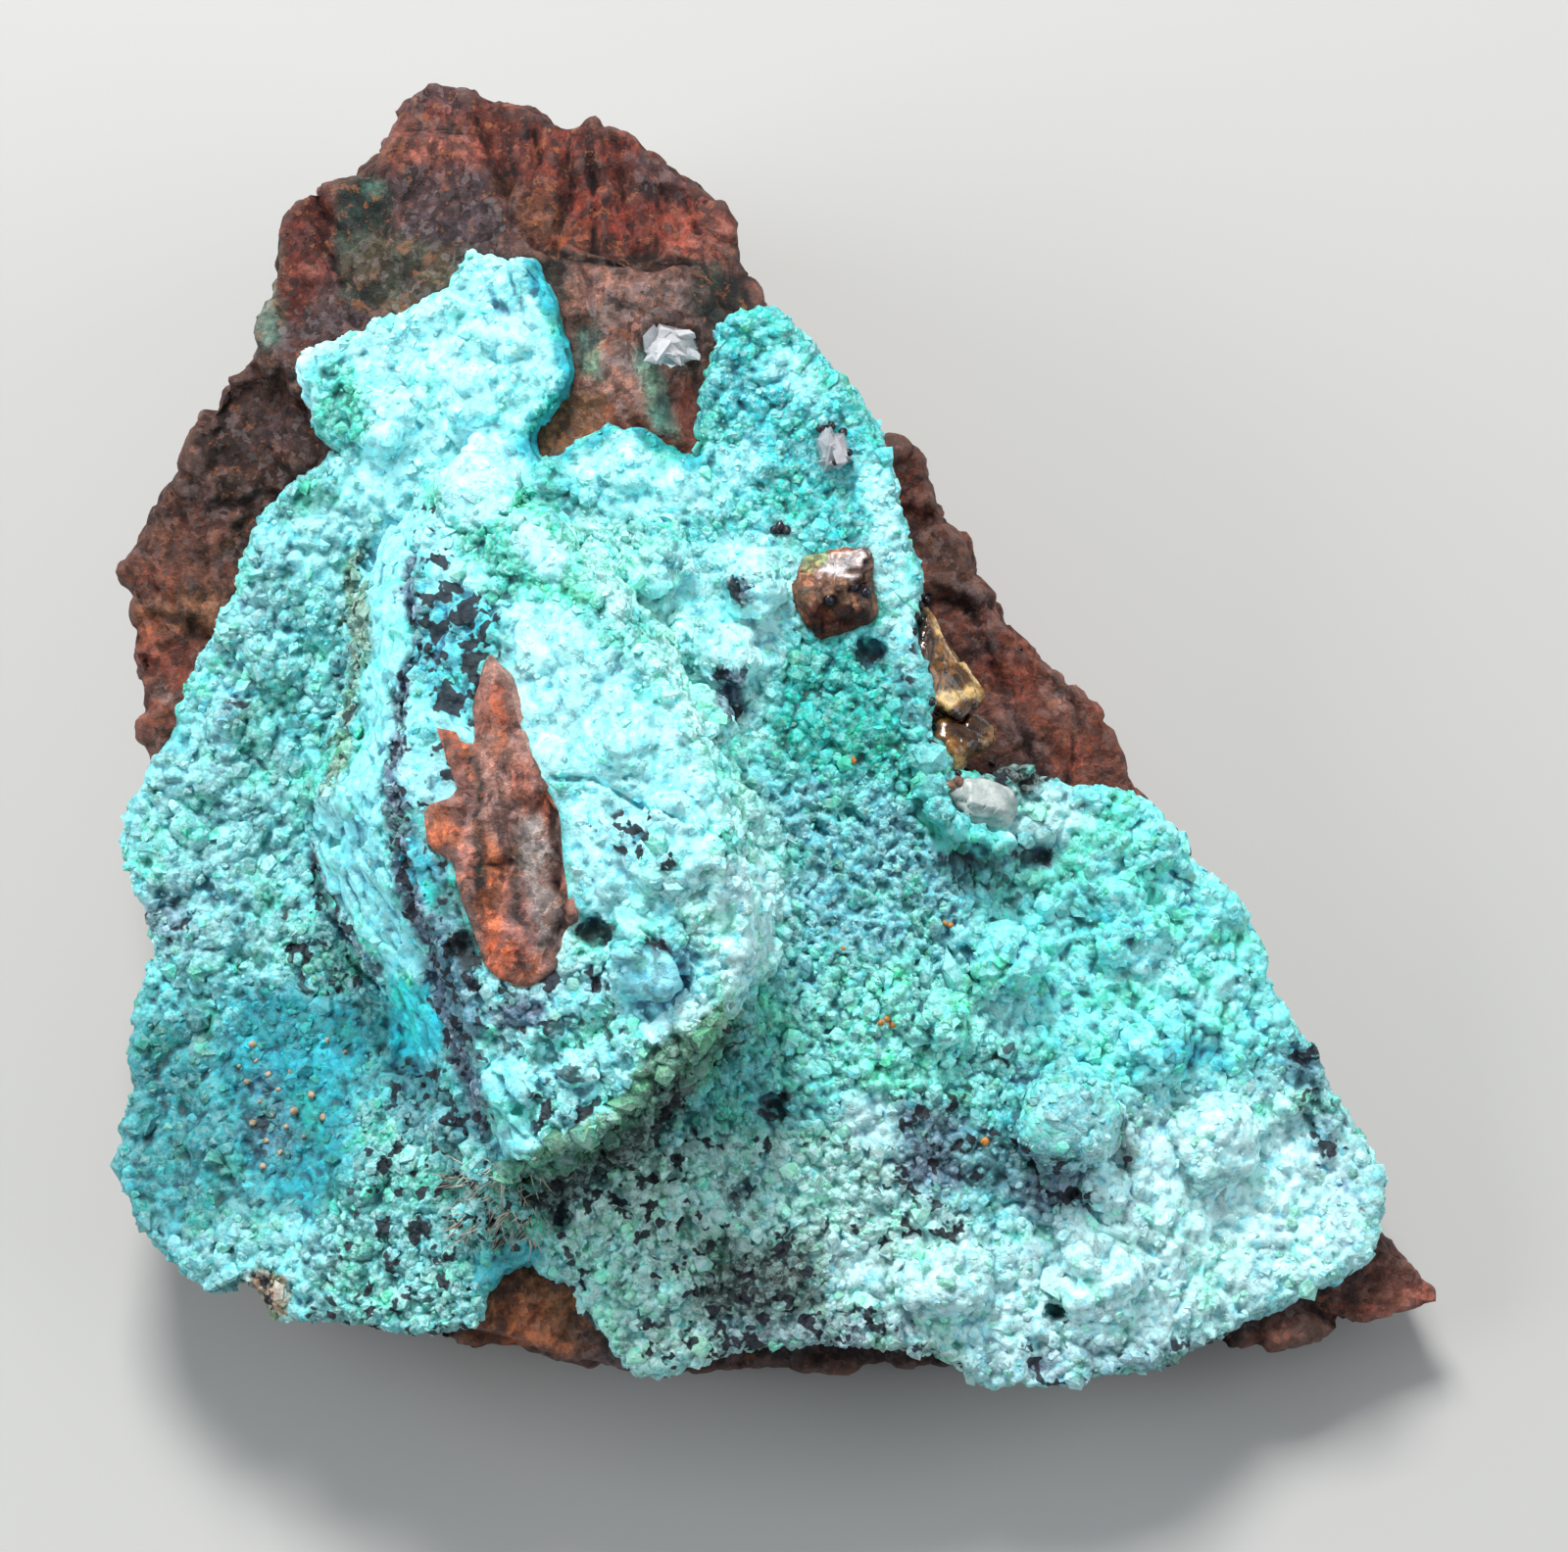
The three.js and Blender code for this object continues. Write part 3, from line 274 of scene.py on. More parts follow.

# Zones: kind, feather in the photograph's pixels, strength and outline. First, the crust on the face
# Near-black, purplish grey and dark olive zones at pits, in grooves, between mounds, along the crust's lower
# edge and under the fin's frill are painted shade
CRUST_ZONES = rows("""
pale_aqua 30 1 130 740 190 740 215 650 255 560 300 500 345 470 400 520 360 620 320 720 300 830 320 960 290
  1010 200 1000 130 960
aqua 22 .8 287 605 330 540 369 560 350 700 320 800 280 760
icy 8 1 290 350 380 325 470 290 478 245 545 250 585 350 592 395 560 420 520 440 540 490 500 520 440 500 400
  520 345 500 335 440 300 400
sea_green 12 .8 315 375 350 360 372 400 380 440 350 470 325 430
teal 24 1 715 330 770 300 890 410 915 520 935 610 900 650 830 560 740 570 700 530 720 450
frosted 20 1 680 540 760 515 810 530 830 600 790 650 690 660
frosted 12 1 880 470 905 480 940 620 925 700 900 640 885 560
frosted 16 1 716 640 740 590 800 600 806 700 800 760 752 770 722 710
frosted 14 .7 720 460 770 450 800 500 760 530 715 510
frosted 12 .7 770 330 800 350 850 400 830 420 780 380
sea_green 14 .5 778 503 854 490 860 545 790 552
sea_green 22 1 806 650 870 650 905 690 925 790 870 810 800 790 780 730
coral 26 1 760 790 900 800 950 830 1010 900 970 1010 880 1010 780 1010
aqua_green 26 .7 987 880 1093 880 1100 1000 1040 1030 980 980
green_grains 26 1 780 1010 900 985 1010 1000 1060 1060 1000 1130 880 1120 780 1100
aqua_green 30 1 1040 830 1180 800 1260 900 1300 1000 1350 1060 1310 1120 1150 1120 1060 1050 1030 960
grey_green 30 1 640 1160 880 1150 1000 1260 990 1410 800 1400 650 1410 590 1330 560 1250
grey_white 40 1 1120 1140 1350 1090 1410 1200 1410 1280 1240 1370 1080 1430 1000 1420 960 1330 1040 1240
violet 22 .9 913 1125 975 1120 990 1210 960 1240 915 1200
violet 22 .9 1040 1170 1100 1175 1115 1230 1060 1255 1030 1220
violet 20 .5 970 1130 1050 1160 1040 1220 980 1220
grey_white 16 .9 890 1145 28 30
pale_aqua 14 1 1092 1145 46 42
cyan 14 .9 1213 1078 34 15
icy 16 .6 1240 1013 30 24
bright 20 1 1190 1166 1296 1160 1310 1220 1270 1300 1200 1300 1185 1220
icy 16 .5 885 1218 1000 1214 1000 1244 890 1248
icy 18 .6 975 1325 34 20
icy 16 .8 1178 988 30 26
icy 14 .7 1026 1036 28 24
umber 14 .45 896 1338 44 18
violet 12 .5 1050 1374 1240 1364 1240 1400 1050 1424
violet 20 .7 176 938 26 30
violet 16 .3 1376 1236 18 40
violet 16 .35 1026 1388 30 20
pale_green 14 .6 606 1312 700 1312 700 1356 616 1356
deep 14 .5 376 1132 18 34
icy 16 .6 304 512 352 505 350 622 306 612
teal 14 .6 1126 940 36 24
umber 12 .5 1180 1376 1262 1356 1266 1392 1190 1406
slate 10 .5 922 690 10 46
slate 12 .8 1328 1086 22 26
sea_green 12 .6 774 338 26 26
violet 14 .4 946 1286 44 18
bright 16 .7 766 636 24 40
bright 10 .6 722 682 14 28
black 18 .45 960 866 1080 860 1080 896 1040 930 960 906
sea_green 12 .6 926 786 18 20
deep 14 .45 325 1236 24 24
violet 14 .4 1026 1086 22 20
pale_aqua 16 .7 276 686 26 30
coral 12 .7 784 836 16 26
umber 12 .4 478 1190 22 14
slate 14 .7 1320 1080 1345 1070 1375 1170 1350 1200 1325 1130
pale_green 20 .6 700 1180 860 1160 900 1230 800 1260 700 1240
grey_white 22 .8 840 1265 1000 1260 1040 1340 960 1370 850 1330
umber 20 .9 720 1275 830 1270 840 1330 740 1350 700 1320
violet 14 .6 720 1345 930 1340 940 1380 740 1385
pale_green 16 .6 626 1285 40 26
grey_grains 20 1 369 1130 440 1130 500 1200 560 1240 520 1290 480 1370 320 1360 300 1300 360 1220
dim_teal 26 1 118 1040 220 1030 250 1180 300 1250 230 1290 150 1270 118 1200
pale_aqua 20 .7 170 1260 257 1235 350 1250 350 1330 210 1330
rusty 6 1 250 1304 272 1298 296 1306 300 1346 262 1340
deep 16 1 222 1056 251 1015 304 1004 363 1027 386 1051 372 1090 352 1186 320 1245 281 1230 250 1186 230 1115
cyan 10 1 328 1086 30 16
cyan 8 .7 262 1062 20 12
violet 14 .4 250 1100 280 1090 300 1170 280 1200 250 1160
grey_grains 14 1 286 933 330 930 392 1000 380 1035 330 1010 290 990
violet 16 .4 320 950 380 1000 370 1030 330 1000
""")
# The fin, from its upper end down
# The fin's purplish grey, dark blue-grey and dark olive zones along the groove by the wall, at the wall's
# foot and under the frill are painted shade
CRUST_ZONES += rows("""
green_skin 12 1 430 490 520 500 620 560 640 620 560 610 500 610 440 590
pale_green 16 1 585 528 650 540 692 600 700 670 745 760 800 850 800 960 750 1030 700 960 700 760 640 660 600
  600
icy 12 .7 676 588 28 30
grey_white 14 .9 736 870 792 876 800 960 772 1010 728 1004
sea_green 10 .8 648 640 22 16
sea_green 8 .8 742 862 16 14
sea_green 8 .7 496 525 506 525 514 600 500 610
lumpy_blue 14 1 470 990 560 990 640 970 730 975 720 1050 650 1130 540 1200 490 1150 470 1050
icy 10 1 512 620 564 608 606 639 637 686 658 713 706 755 722 797 727 860 711 918 658 950 606 934 582 905 575
  830 553 802 537 770 518 705
aqua 6 .8 556 797 600 790 604 802 578 812 560 815
dotted 8 .9 600 840 640 820 700 840 690 890 640 880
spotted 8 1 436 600 470 590 498 620 500 700 492 750 450 740 432 680
dotted 8 .9 418 520 462 515 466 590 436 610 416 590
wall 6 1 362 565 390 520 416 525 424 590 426 660 420 713 418 755 392 800 394 860 414 925 440 978 446 1004
  385 984 334 915 317 836 341 795 376 755 367 692 375 634
wall 6 1 424 704 490 742 494 768 450 752 416 728
dotted 7 1 403 765 450 765 470 800 466 828 420 826 404 800
slate 8 1 392 800 414 800 436 860 470 920 478 965 492 1030 498 1118 508 1185 486 1165 464 1083 438 988 410
  915
strip 5 1 396 997 443 1004 452 1050 440 1094 404 1090 400 1040
slate 10 .6 398 1080 450 1080 486 1160 470 1180 400 1140
wall 7 1 500 1070 530 1080 540 1150 528 1190 508 1185 498 1120
olive 4 .9 350 575 366 545 384 520 392 528 368 575 376 640 368 700 352 790 318 830 334 790 358 700
violet 4 .8 318 850 326 880 340 925 392 990 386 1000 332 940 312 870
violet 10 .95 524 1032 32 20
slate 12 .4 574 1136 32 26
icy 14 .7 378 536 22 26
icy 12 .6 325 690 22 34
icy 8 .8 478 584 20 16
spotted 7 .9 426 586 14 22
aqua_green 12 .7 736 790 16 34
umber 10 .5 682 1094 22 16
strip 8 .6 412 860 432 850 446 910 440 930 420 920
icy 7 1 487 505 36 30
icy 7 1 525 530 550 525 575 560 580 590 550 590 530 560
pale_green 8 .9 540 936 590 934 606 980 570 1006 545 1005
violet 3 .9 414 560 422 562 424 604 434 664 416 712 409 791 416 872 446 976 460 1036 486 1104 500 1160 490
  1160 474 1108 446 1042 430 982 402 876 394 791 402 706 420 664 410 604
black 6 .9 606 950 22 14
black 6 .9 478 968 16 20
violet 8 .6 500 1000 620 985 625 1010 520 1022
glassy 10 1 634 975 680 955 708 980 700 1030 650 1062 634 1030
slate 4 .9 660 950 700 975 704 1000 696 1000 690 982 656 960
grey_white 8 .9 656 1050 700 1020 750 1010 752 1032 700 1056 664 1072
moss 12 1 500 1210 566 1182 630 1140 662 1085 716 1046 764 1050 724 1104 660 1156 560 1226
yellow_green 6 1 500 1194 540 1178 590 1152 636 1116 664 1076 704 1044 760 1026 764 1040 716 1064 676 1100
  640 1136 596 1168 508 1208
""")
# Rims of the crust where it ends on the rock
CRUST_ZONES += rows("""
rim 5 1 530 255 556 262 590 350 598 405 560 432 545 475 524 455 536 425 570 392 560 345 545 300
rim 5 .8 505 300 525 298 530 315 508 318
icy 8 1 575 470 640 445 700 475 722 490 715 528 670 535 600 515
rim 4 1 556 472 595 450 640 426 692 452 728 470 726 486 698 472 640 440 580 464
rim 6 .8 484 1275 545 1268 560 1285 510 1310 480 1340
rim 8 .6 144 736 187 730 190 770 150 768
sea_green 8 .6 300 500 325 482 345 485 300 520
teal 10 .8 655 530 722 530 760 500 790 462 806 500 770 545 690 556
aqua 8 .7 528 288 14 22
""")
# Painted shade in the hollows and pits, and the lip
CRUST_ZONES += rows("""
black 8 .7 790 1127 18 13
umber 9 .9 530 1228 596 1188 650 1150 690 1102 714 1110 680 1152 636 1196 570 1240
black 8 .8 574 1244 14 16
black 7 .8 888 668 20 10
black 10 .8 993 880 26 12
black 10 .8 1055 873 22 11
violet 7 1 744 708 17 26
violet 6 .9 752 600 13 15
black 4 1 795 539 9 7
violet 10 .6 244 730 24 12
slate 8 .7 350 686 8 24
black 8 .7 1076 1343 10 14
black 10 .5 760 1215 14 12
black 10 .6 1150 1175 12 30
umber 8 1 1000 740 1040 760 1075 800 1040 812 1005 790
grey_white 8 .8 1018 806 1090 806 1120 836 1070 866 1026 850
lip 4 1 930 780 952 800 956 836 984 850 1010 848 1030 842 1032 864 996 876 956 866 934 836
""")

# Kinds of rock: red, green, blue; grey, dark, gloss; height in mm of facets, steps, roughness, furrows
# and fine grit
ROCK_KINDS = kinds_from("""
brown .11 .044 .03 .3 .4 .15 .8 .5 .16 0 .22
dark_brown .056 .028 .02 .5 .5 .2 .8 .55 .16 0 .26
red .118 .027 .018 .15 .7 .2 .4 .35 .12 1.4 .18
bright_red .235 .082 .06 .2 .4 .2 .5 .4 .14 .5 .2
ledge .175 .052 .031 .3 .35 .2 .6 .2 .16 .3 .05
mauve .06 .04 .045 .6 .55 .25 .6 .5 .16 .1 .24
green_black .012 .026 .022 .1 .6 .4 .2 .3 .2 0 .14
olive .085 .095 .062 .6 .55 .2 .2 .35 .3 0 .16
pink .225 .145 .125 .8 .5 .25 .3 .3 .22 0 .14
orange .27 .115 .055 .3 .45 .15 .15 .2 .16 0 .12
core .54 .17 .08 .4 .4 .15 .6 .5 .24 .45 .16
core_pink .4 .21 .17 .6 .45 .15 .6 .5 .24 .3 .16
core_grey .38 .34 .32 .7 .4 .15 .25 .4 .24 .6 .16
core_mauve .3 .13 .11 .7 .5 .15 .25 .4 .24 .7 .16
slate .05 .047 .052 .5 .5 .3 .3 .3 .2 0 .12
green_stain .1 .3 .24 .5 .3 .2 .2 .25 .24 0 .16
""")
# The dark blue-grey zone along the bottom edge is painted shadow on the rock's lower side
ROCK_ZONES = rows("""
dark_brown 30 1 150 520 260 350 350 380 350 480 230 640 180 600
mauve 16 .7 280 440 26 22
mauve 14 .6 212 520 24 16
brown 24 .9 120 560 220 480 240 620 200 740 120 740
orange 12 .6 137 617 225 600 225 650 140 655
bright_red 14 .8 130 655 200 660 200 705 137 705
pink 8 .8 170 706 12 12
mauve 24 1 260 340 330 260 390 175 500 180 530 240 480 290 380 330 300 370
red 16 .9 270 250 300 185 345 180 350 250 320 310 270 340
green_stain 12 .5 255 250 280 240 284 350 256 360
green_black 10 1 345 185 385 172 408 190 402 234 372 250 350 300 338 235
green_black 10 .9 374 232 26 34
olive 12 .8 355 240 430 240 475 255 470 300 390 320 350 300
green_black 8 .9 370 305 16 13
green_stain 6 .8 388 192 15 9
red 16 1 395 170 410 90 470 80 600 120 670 150 760 210 760 275 640 270 560 250 500 185
mauve 10 .8 410 78 480 78 476 112 415 112
bright_red 10 .9 405 122 480 118 495 176 400 172
slate 6 .8 420 124 478 128 478 140 422 136
mauve 12 .8 639 160 690 165 700 200 650 205
bright_red 14 .8 682 207 745 215 745 260 690 262
orange 12 .4 500 190 560 200 620 250 560 255
mauve 12 .9 408 172 500 172 516 240 480 250 408 240
green_black 4 .8 530 240 560 248 618 268 671 258 740 270 740 278 672 268 616 278 556 258
olive 8 .7 730 290 20 14
pink 12 1 545 272 620 276 700 280 720 340 700 400 640 430 590 400 600 340
green_black 8 .9 548 262 580 268 590 310 570 315
green_stain 7 .8 588 334 612 338 612 386 590 384
green_stain 6 .8 650 355 672 360 690 420 700 450 660 440 652 390
orange 7 1 535 425 595 398 630 420 590 460 550 480
bright_red 7 .9 684 380 715 400 725 470 690 462 680 420
olive 4 .8 545 462 590 456 596 470 550 484
green_black 10 .9 706 272 760 288 775 325 735 345 705 320
ledge 20 1 925 560 985 560 1080 640 1160 740 1165 830 1100 800 1030 740 960 640
dark_brown 14 .9 930 540 1000 560 1010 620 960 630
mauve 12 .8 1003 640 16 34
slate 12 .5 1010 700 1040 720 1090 790 1060 790 1020 740
pink 14 .7 1085 700 24 22
dark_brown 14 .7 1110 740 18 16
bright_red 14 .7 1120 790 26 20
slate 20 .9 430 1345 640 1400 900 1385 960 1430 1200 1450 1240 1380 1380 1300 1400 1280 1000 1200 500 1250
bright_red 18 .9 1400 1290 1450 1280 1480 1330 1450 1385 1380 1385
brown 24 .8 1150 1400 1260 1370 1220 1450 1130 1450
orange 7 1 478 1330 520 1283 565 1290 610 1330 640 1372 600 1380 470 1370
mauve 8 .7 590 1350 640 1360 665 1395 600 1398
orange 10 .9 276 1322 26 24
core_pink 6 1 430 690 520 660 610 760 620 1020 480 1030 420 860
core 7 1 430 815 466 822 470 860 440 872
core 6 1 440 740 478 748 490 800 470 800
core 7 1 490 850 516 860 524 920 548 960 552 1010 500 1010 488 940
core 6 .9 548 796 570 800 578 850 556 850
core 6 .8 498 700 512 700 520 760 504 780
core_grey 7 .9 534 830 552 840 572 870 572 965 544 975 528 900
core_mauve 6 .9 515 880 540 900 548 960 530 1000 512 950
core_mauve 5 .9 462 760 478 770 480 830 466 840
dark_brown 5 1 552 770 566 790 576 830 574 900 584 960 572 960 562 880 556 820
green_black 3 .9 480 770 490 760 492 830 488 950 480 950 484 850
green_black 4 .8 524 850 534 860 534 960 522 950
green_black 4 .9 488 892 7 9
green_black 4 .9 430 690 446 700 450 740 440 740
""")

# Kinds of the brown grains, as the kinds of rock
GRAIN_KINDS = kinds_from("""
chip .27 .145 .095 .3 .5 .1 .4 .6 .06 0 .08
chip_shade .12 .036 .022 .1 .6 .1 .4 .6 .06 0 .08
chip_band .7 .66 .68 .6 .3 0 .6 .5 .12 0 .16
chip_moss .3 .36 .18 .4 .3 .2 .1 .05 .05 0 .04
chip_black .008 .006 .01 0 .6 .4 .1 .05 .05 0 .04
honey .17 .07 .012 0 .3 1 .6 .45 .05 0 .03
honey_dark .03 .011 .003 0 .3 1 .6 .45 .05 0 .03
honey_rim .46 .31 .12 .3 .1 .9 .6 .45 .05 0 .03
""")
CHIP_ZONES = rows("""
chip_shade 4 1 815 618 850 606 893 628 893 655 850 660 815 650
chip 4 1 815 590 870 592 893 622 850 606 818 618
chip_band 1.5 1 828 574 850 566 870 562 886 563 888 577 868 574 858 584 836 586
chip_band 1.5 1 868 584 11 3
chip_moss 3 1 818 560 846 560 846 574 824 582
chip_black 2 1 876 598 7 5
chip_black 2 1 884 575 4 5
chip_black 2 1 848 612 4 3
""")
AMBER_ZONES = rows("""
honey_dark 4 1 930 620 948 616 958 650 950 700 934 690
honey_dark 4 .8 964 690 984 684 990 704 966 708
honey_rim 2 1 954 622 962 626 1000 700 990 700 976 676
honey_dark 5 1 966 728 1000 716 1014 742 992 766 972 756
honey_rim 3 1 952 704 990 700 1004 712 968 720
honey_rim 3 .9 958 772 980 768 984 790 962 792
""")

# Round knobs and pits of the crust: place in the photograph, radius in its pixels, height in mm
KNOBS = rows("""
knobs 487 508 40 1 550 562 32 .9 515 640 22 .5 600 660 34 .45 660 760 40 .4 1092 1146 50 .7 1240 1012 36 .6
  1138 880 42 .5 560 1030 30 .5 640 1075 34 .5 520 1110 26 .5 588 1088 24 .5 180 870 40 .6 235 800 34 .5 205
  960 36 .5 640 480 26 .4 690 500 22 .4
pits 993 880 24 -.8 1055 873 18 -.8 888 668 17 -.8 790 1127 17 -.8 744 708 18 -.5 606 950 18 -.7 478 968 16
  -.6 574 1244 14 -.8 620 1210 26 -.7 866 832 11 -.8 836 846 8 -.6 1076 1343 11 -.8 760 1215 13 -.7 950 980
  10 -.6 700 1250 16 -.7
""")

# Cracks and grooves: half width in the photograph's pixels, depth in mm, and the line's corners
CRUST_CUTS = rows("""
wall 9 .75 420 560 416 604 427 664 408 709 401 791 408 874 438 979 453 1039 480 1106 496 1160
wall_foot 7 .6 314 850 330 920 356 980 386 1008
scratch 6 .6 560 798 604 796 640 816 700 836
nick 5 .5 656 950 690 975 702 1010
""")
ROCK_CUTS = rows("""
peak_rib 5 .7 482 121 510 183 521 222 544 250 578 267
peak_rib 6 .8 603 160 606 183 606 256
peak_rib 6 .7 576 156 583 183 566 256
peak_rib 5 .7 677 190 673 256
peak_rib 5 .6 542 136 548 160 536 214
top_edge 5 .6 409 132 450 130 482 134
peak_rib 6 .5 634 176 640 200 648 262
peak_foot 5 .7 544 252 589 268 628 266 707 270
left_rib 7 .8 322 196 330 256 347 290
right_rib 5 .7 700 205 712 235 742 250
ledge 6 .6 980 590 1000 650 1030 720 1060 790
ledge 6 .6 1090 690 1100 740 1090 800
""")

# Single small grains on the crust: red, green, blue, gloss, radius in mm, places in the photograph
SPECKS = rows("""
orange_specks .62 .25 .05 .3 .2 905 1040 911 1046 970 944 860 968 870 776 1005 1165 964 942 899 1044
black_specks .012 .01 .02 .7 .26 940 606 938 618 948 604 946 612 934 630 932 644 951 716 957 728 954 744 953
  760 958 772 978 790 986 784 996 760 1004 768 1012 778 796 538 790 541 802 541 872 598 884 604 846 612 838
  437 848 435 860 441 866 462 852 472
brown_bits .24 .12 .08 .4 .3 968 802 978 797 990 800 1002 798 1014 803 984 807
tan_specks .48 .36 .24 .2 .17 262 1082 274 1096 252 1104 284 1112 266 1124 278 1138 258 1146 292 1150 272
  1164 286 1176 300 1134 318 1118 334 1062 352 1074 244 1088 296 1094 310 1160 268 1190 330 1140 258 1066
""")


# Meshes

def placed(name, data):
    thing = bpy.data.objects.new(name, data)
    bpy.context.scene.collection.objects.link(thing)
    return thing


def read(items, key, width=3, kind=float):
    """One property of each of a mesh's items, as rows."""
    values = np.zeros(len(items) * width, kind)
    items.foreach_get(key, values)
    return values.reshape(-1, width)


def vertices_of(mesh):
    return read(mesh.vertices, "co")


def normals_of(mesh):
    return read(mesh.vertex_normals, "vector")


def triangles_of(mesh):
    mesh.calc_loop_triangles()
    return read(mesh.loop_triangles, "vertices", kind=np.int32)


def set_vertices(mesh, points):
    mesh.vertices.foreach_set("co", np.asarray(points, np.float32).ravel())
    mesh.update()


def new_piece(name, mesh, slot, material, *nodes):
    """A shown piece of the object that rides on its one body and may stand for CAD nodes."""
    piece = placed(name, mesh)
    mesh.materials.clear()
    mesh.materials.append(material)
    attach(piece, "root")
    if nodes:
        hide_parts(*nodes)


def mesh_of(name, points, faces, smooth=True):
    """A mesh of triangles from arrays."""
    mesh = bpy.data.meshes.new(name)
    mesh.vertices.add(len(points))
    mesh.loops.add(3 * len(faces))
    mesh.polygons.add(len(faces))
    mesh.vertices.foreach_set("co", np.asarray(points, np.float32).ravel())
    mesh.loops.foreach_set("vertex_index", np.asarray(faces, np.int32).ravel())
    mesh.polygons.foreach_set("loop_start", np.arange(0, 3 * len(faces), 3, dtype=np.int32))
    mesh.polygons.foreach_set("use_smooth", np.full(len(faces), smooth))
    mesh.update(calc_edges=True)
    return mesh


def with_modifier(mesh, kind, weights=None, **settings):
    """The mesh as one modifier leaves it."""
    carrier = placed("carrier", mesh)
    modifier = carrier.modifiers.new(kind, kind)
    for key, value in settings.items():
        setattr(modifier, key, value)
    if weights is not None:
        group = carrier.vertex_groups.new(name="weights")
        levels = np.round(weights, 1) + 0.01
        for level in np.unique(levels):
            group.add(np.nonzero(levels == level)[0].tolist(), float(level), "REPLACE")
        modifier.vertex_group = group.name
    depsgraph = bpy.context.evaluated_depsgraph_get()
    made = bpy.data.meshes.new_from_object(carrier.evaluated_get(depsgraph))
    bpy.data.objects.remove(carrier)
    return made


def blurred(mesh, points, rounds):
    """Each vertex moved towards the middle of its neighbours, a few times."""
    a, b = read(mesh.edges, "vertices", 2, np.int32).T
    size = len(points)
    count = np.bincount(a, minlength=size) + np.bincount(b, minlength=size)
    for _ in range(rounds):
        total = np.stack([np.bincount(a, points[b, k], size) + np.bincount(b, points[a, k], size)
                          for k in range(3)], axis=1)
        points = 0.5 * points + 0.5 * total / count[:, None]
    return points


def tree_of(mesh):
    return BVHTree.FromPolygons([v.co for v in mesh.vertices], [p.vertices for p in mesh.polygons])


def others_than(node):
    return [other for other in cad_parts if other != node]


def away_from_nodes(points, nodes, reach):
    """How far points lie from the CAD nodes, in mm, up to the given reach."""
    distance = np.full(len(points), reach * MM)
    for node in nodes:
        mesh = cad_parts[node].data
        near = np.nonzero(within(points, vertices_of(mesh), reach * MM))[0]
        tree = tree_of(mesh)
        for i, place in zip(near, points[near].tolist()):
            found = tree.find_nearest(place, reach * MM)[3]
            if found is not None and found < distance[i]:
                distance[i] = found
    return distance / MM


def closeness(distance, reach):
    """1 at a distance below half the reach, falling to 0 at the reach."""
    return np.clip((reach - distance) / (0.5 * reach), 0, 1)


def write_channels(mesh, tint, relief, finish, grain):
    """Keeps colour and finish on the mesh, for its material."""
    for name, colour, last in (("tint", tint, relief), ("finish", finish, grain)):
        attribute = mesh.color_attributes.new(name, "FLOAT_COLOR", "POINT")
        values = np.concatenate([colour, last[:, None]], axis=1)
        attribute.data.foreach_set("color", values.astype(np.float32).ravel())


# Materials

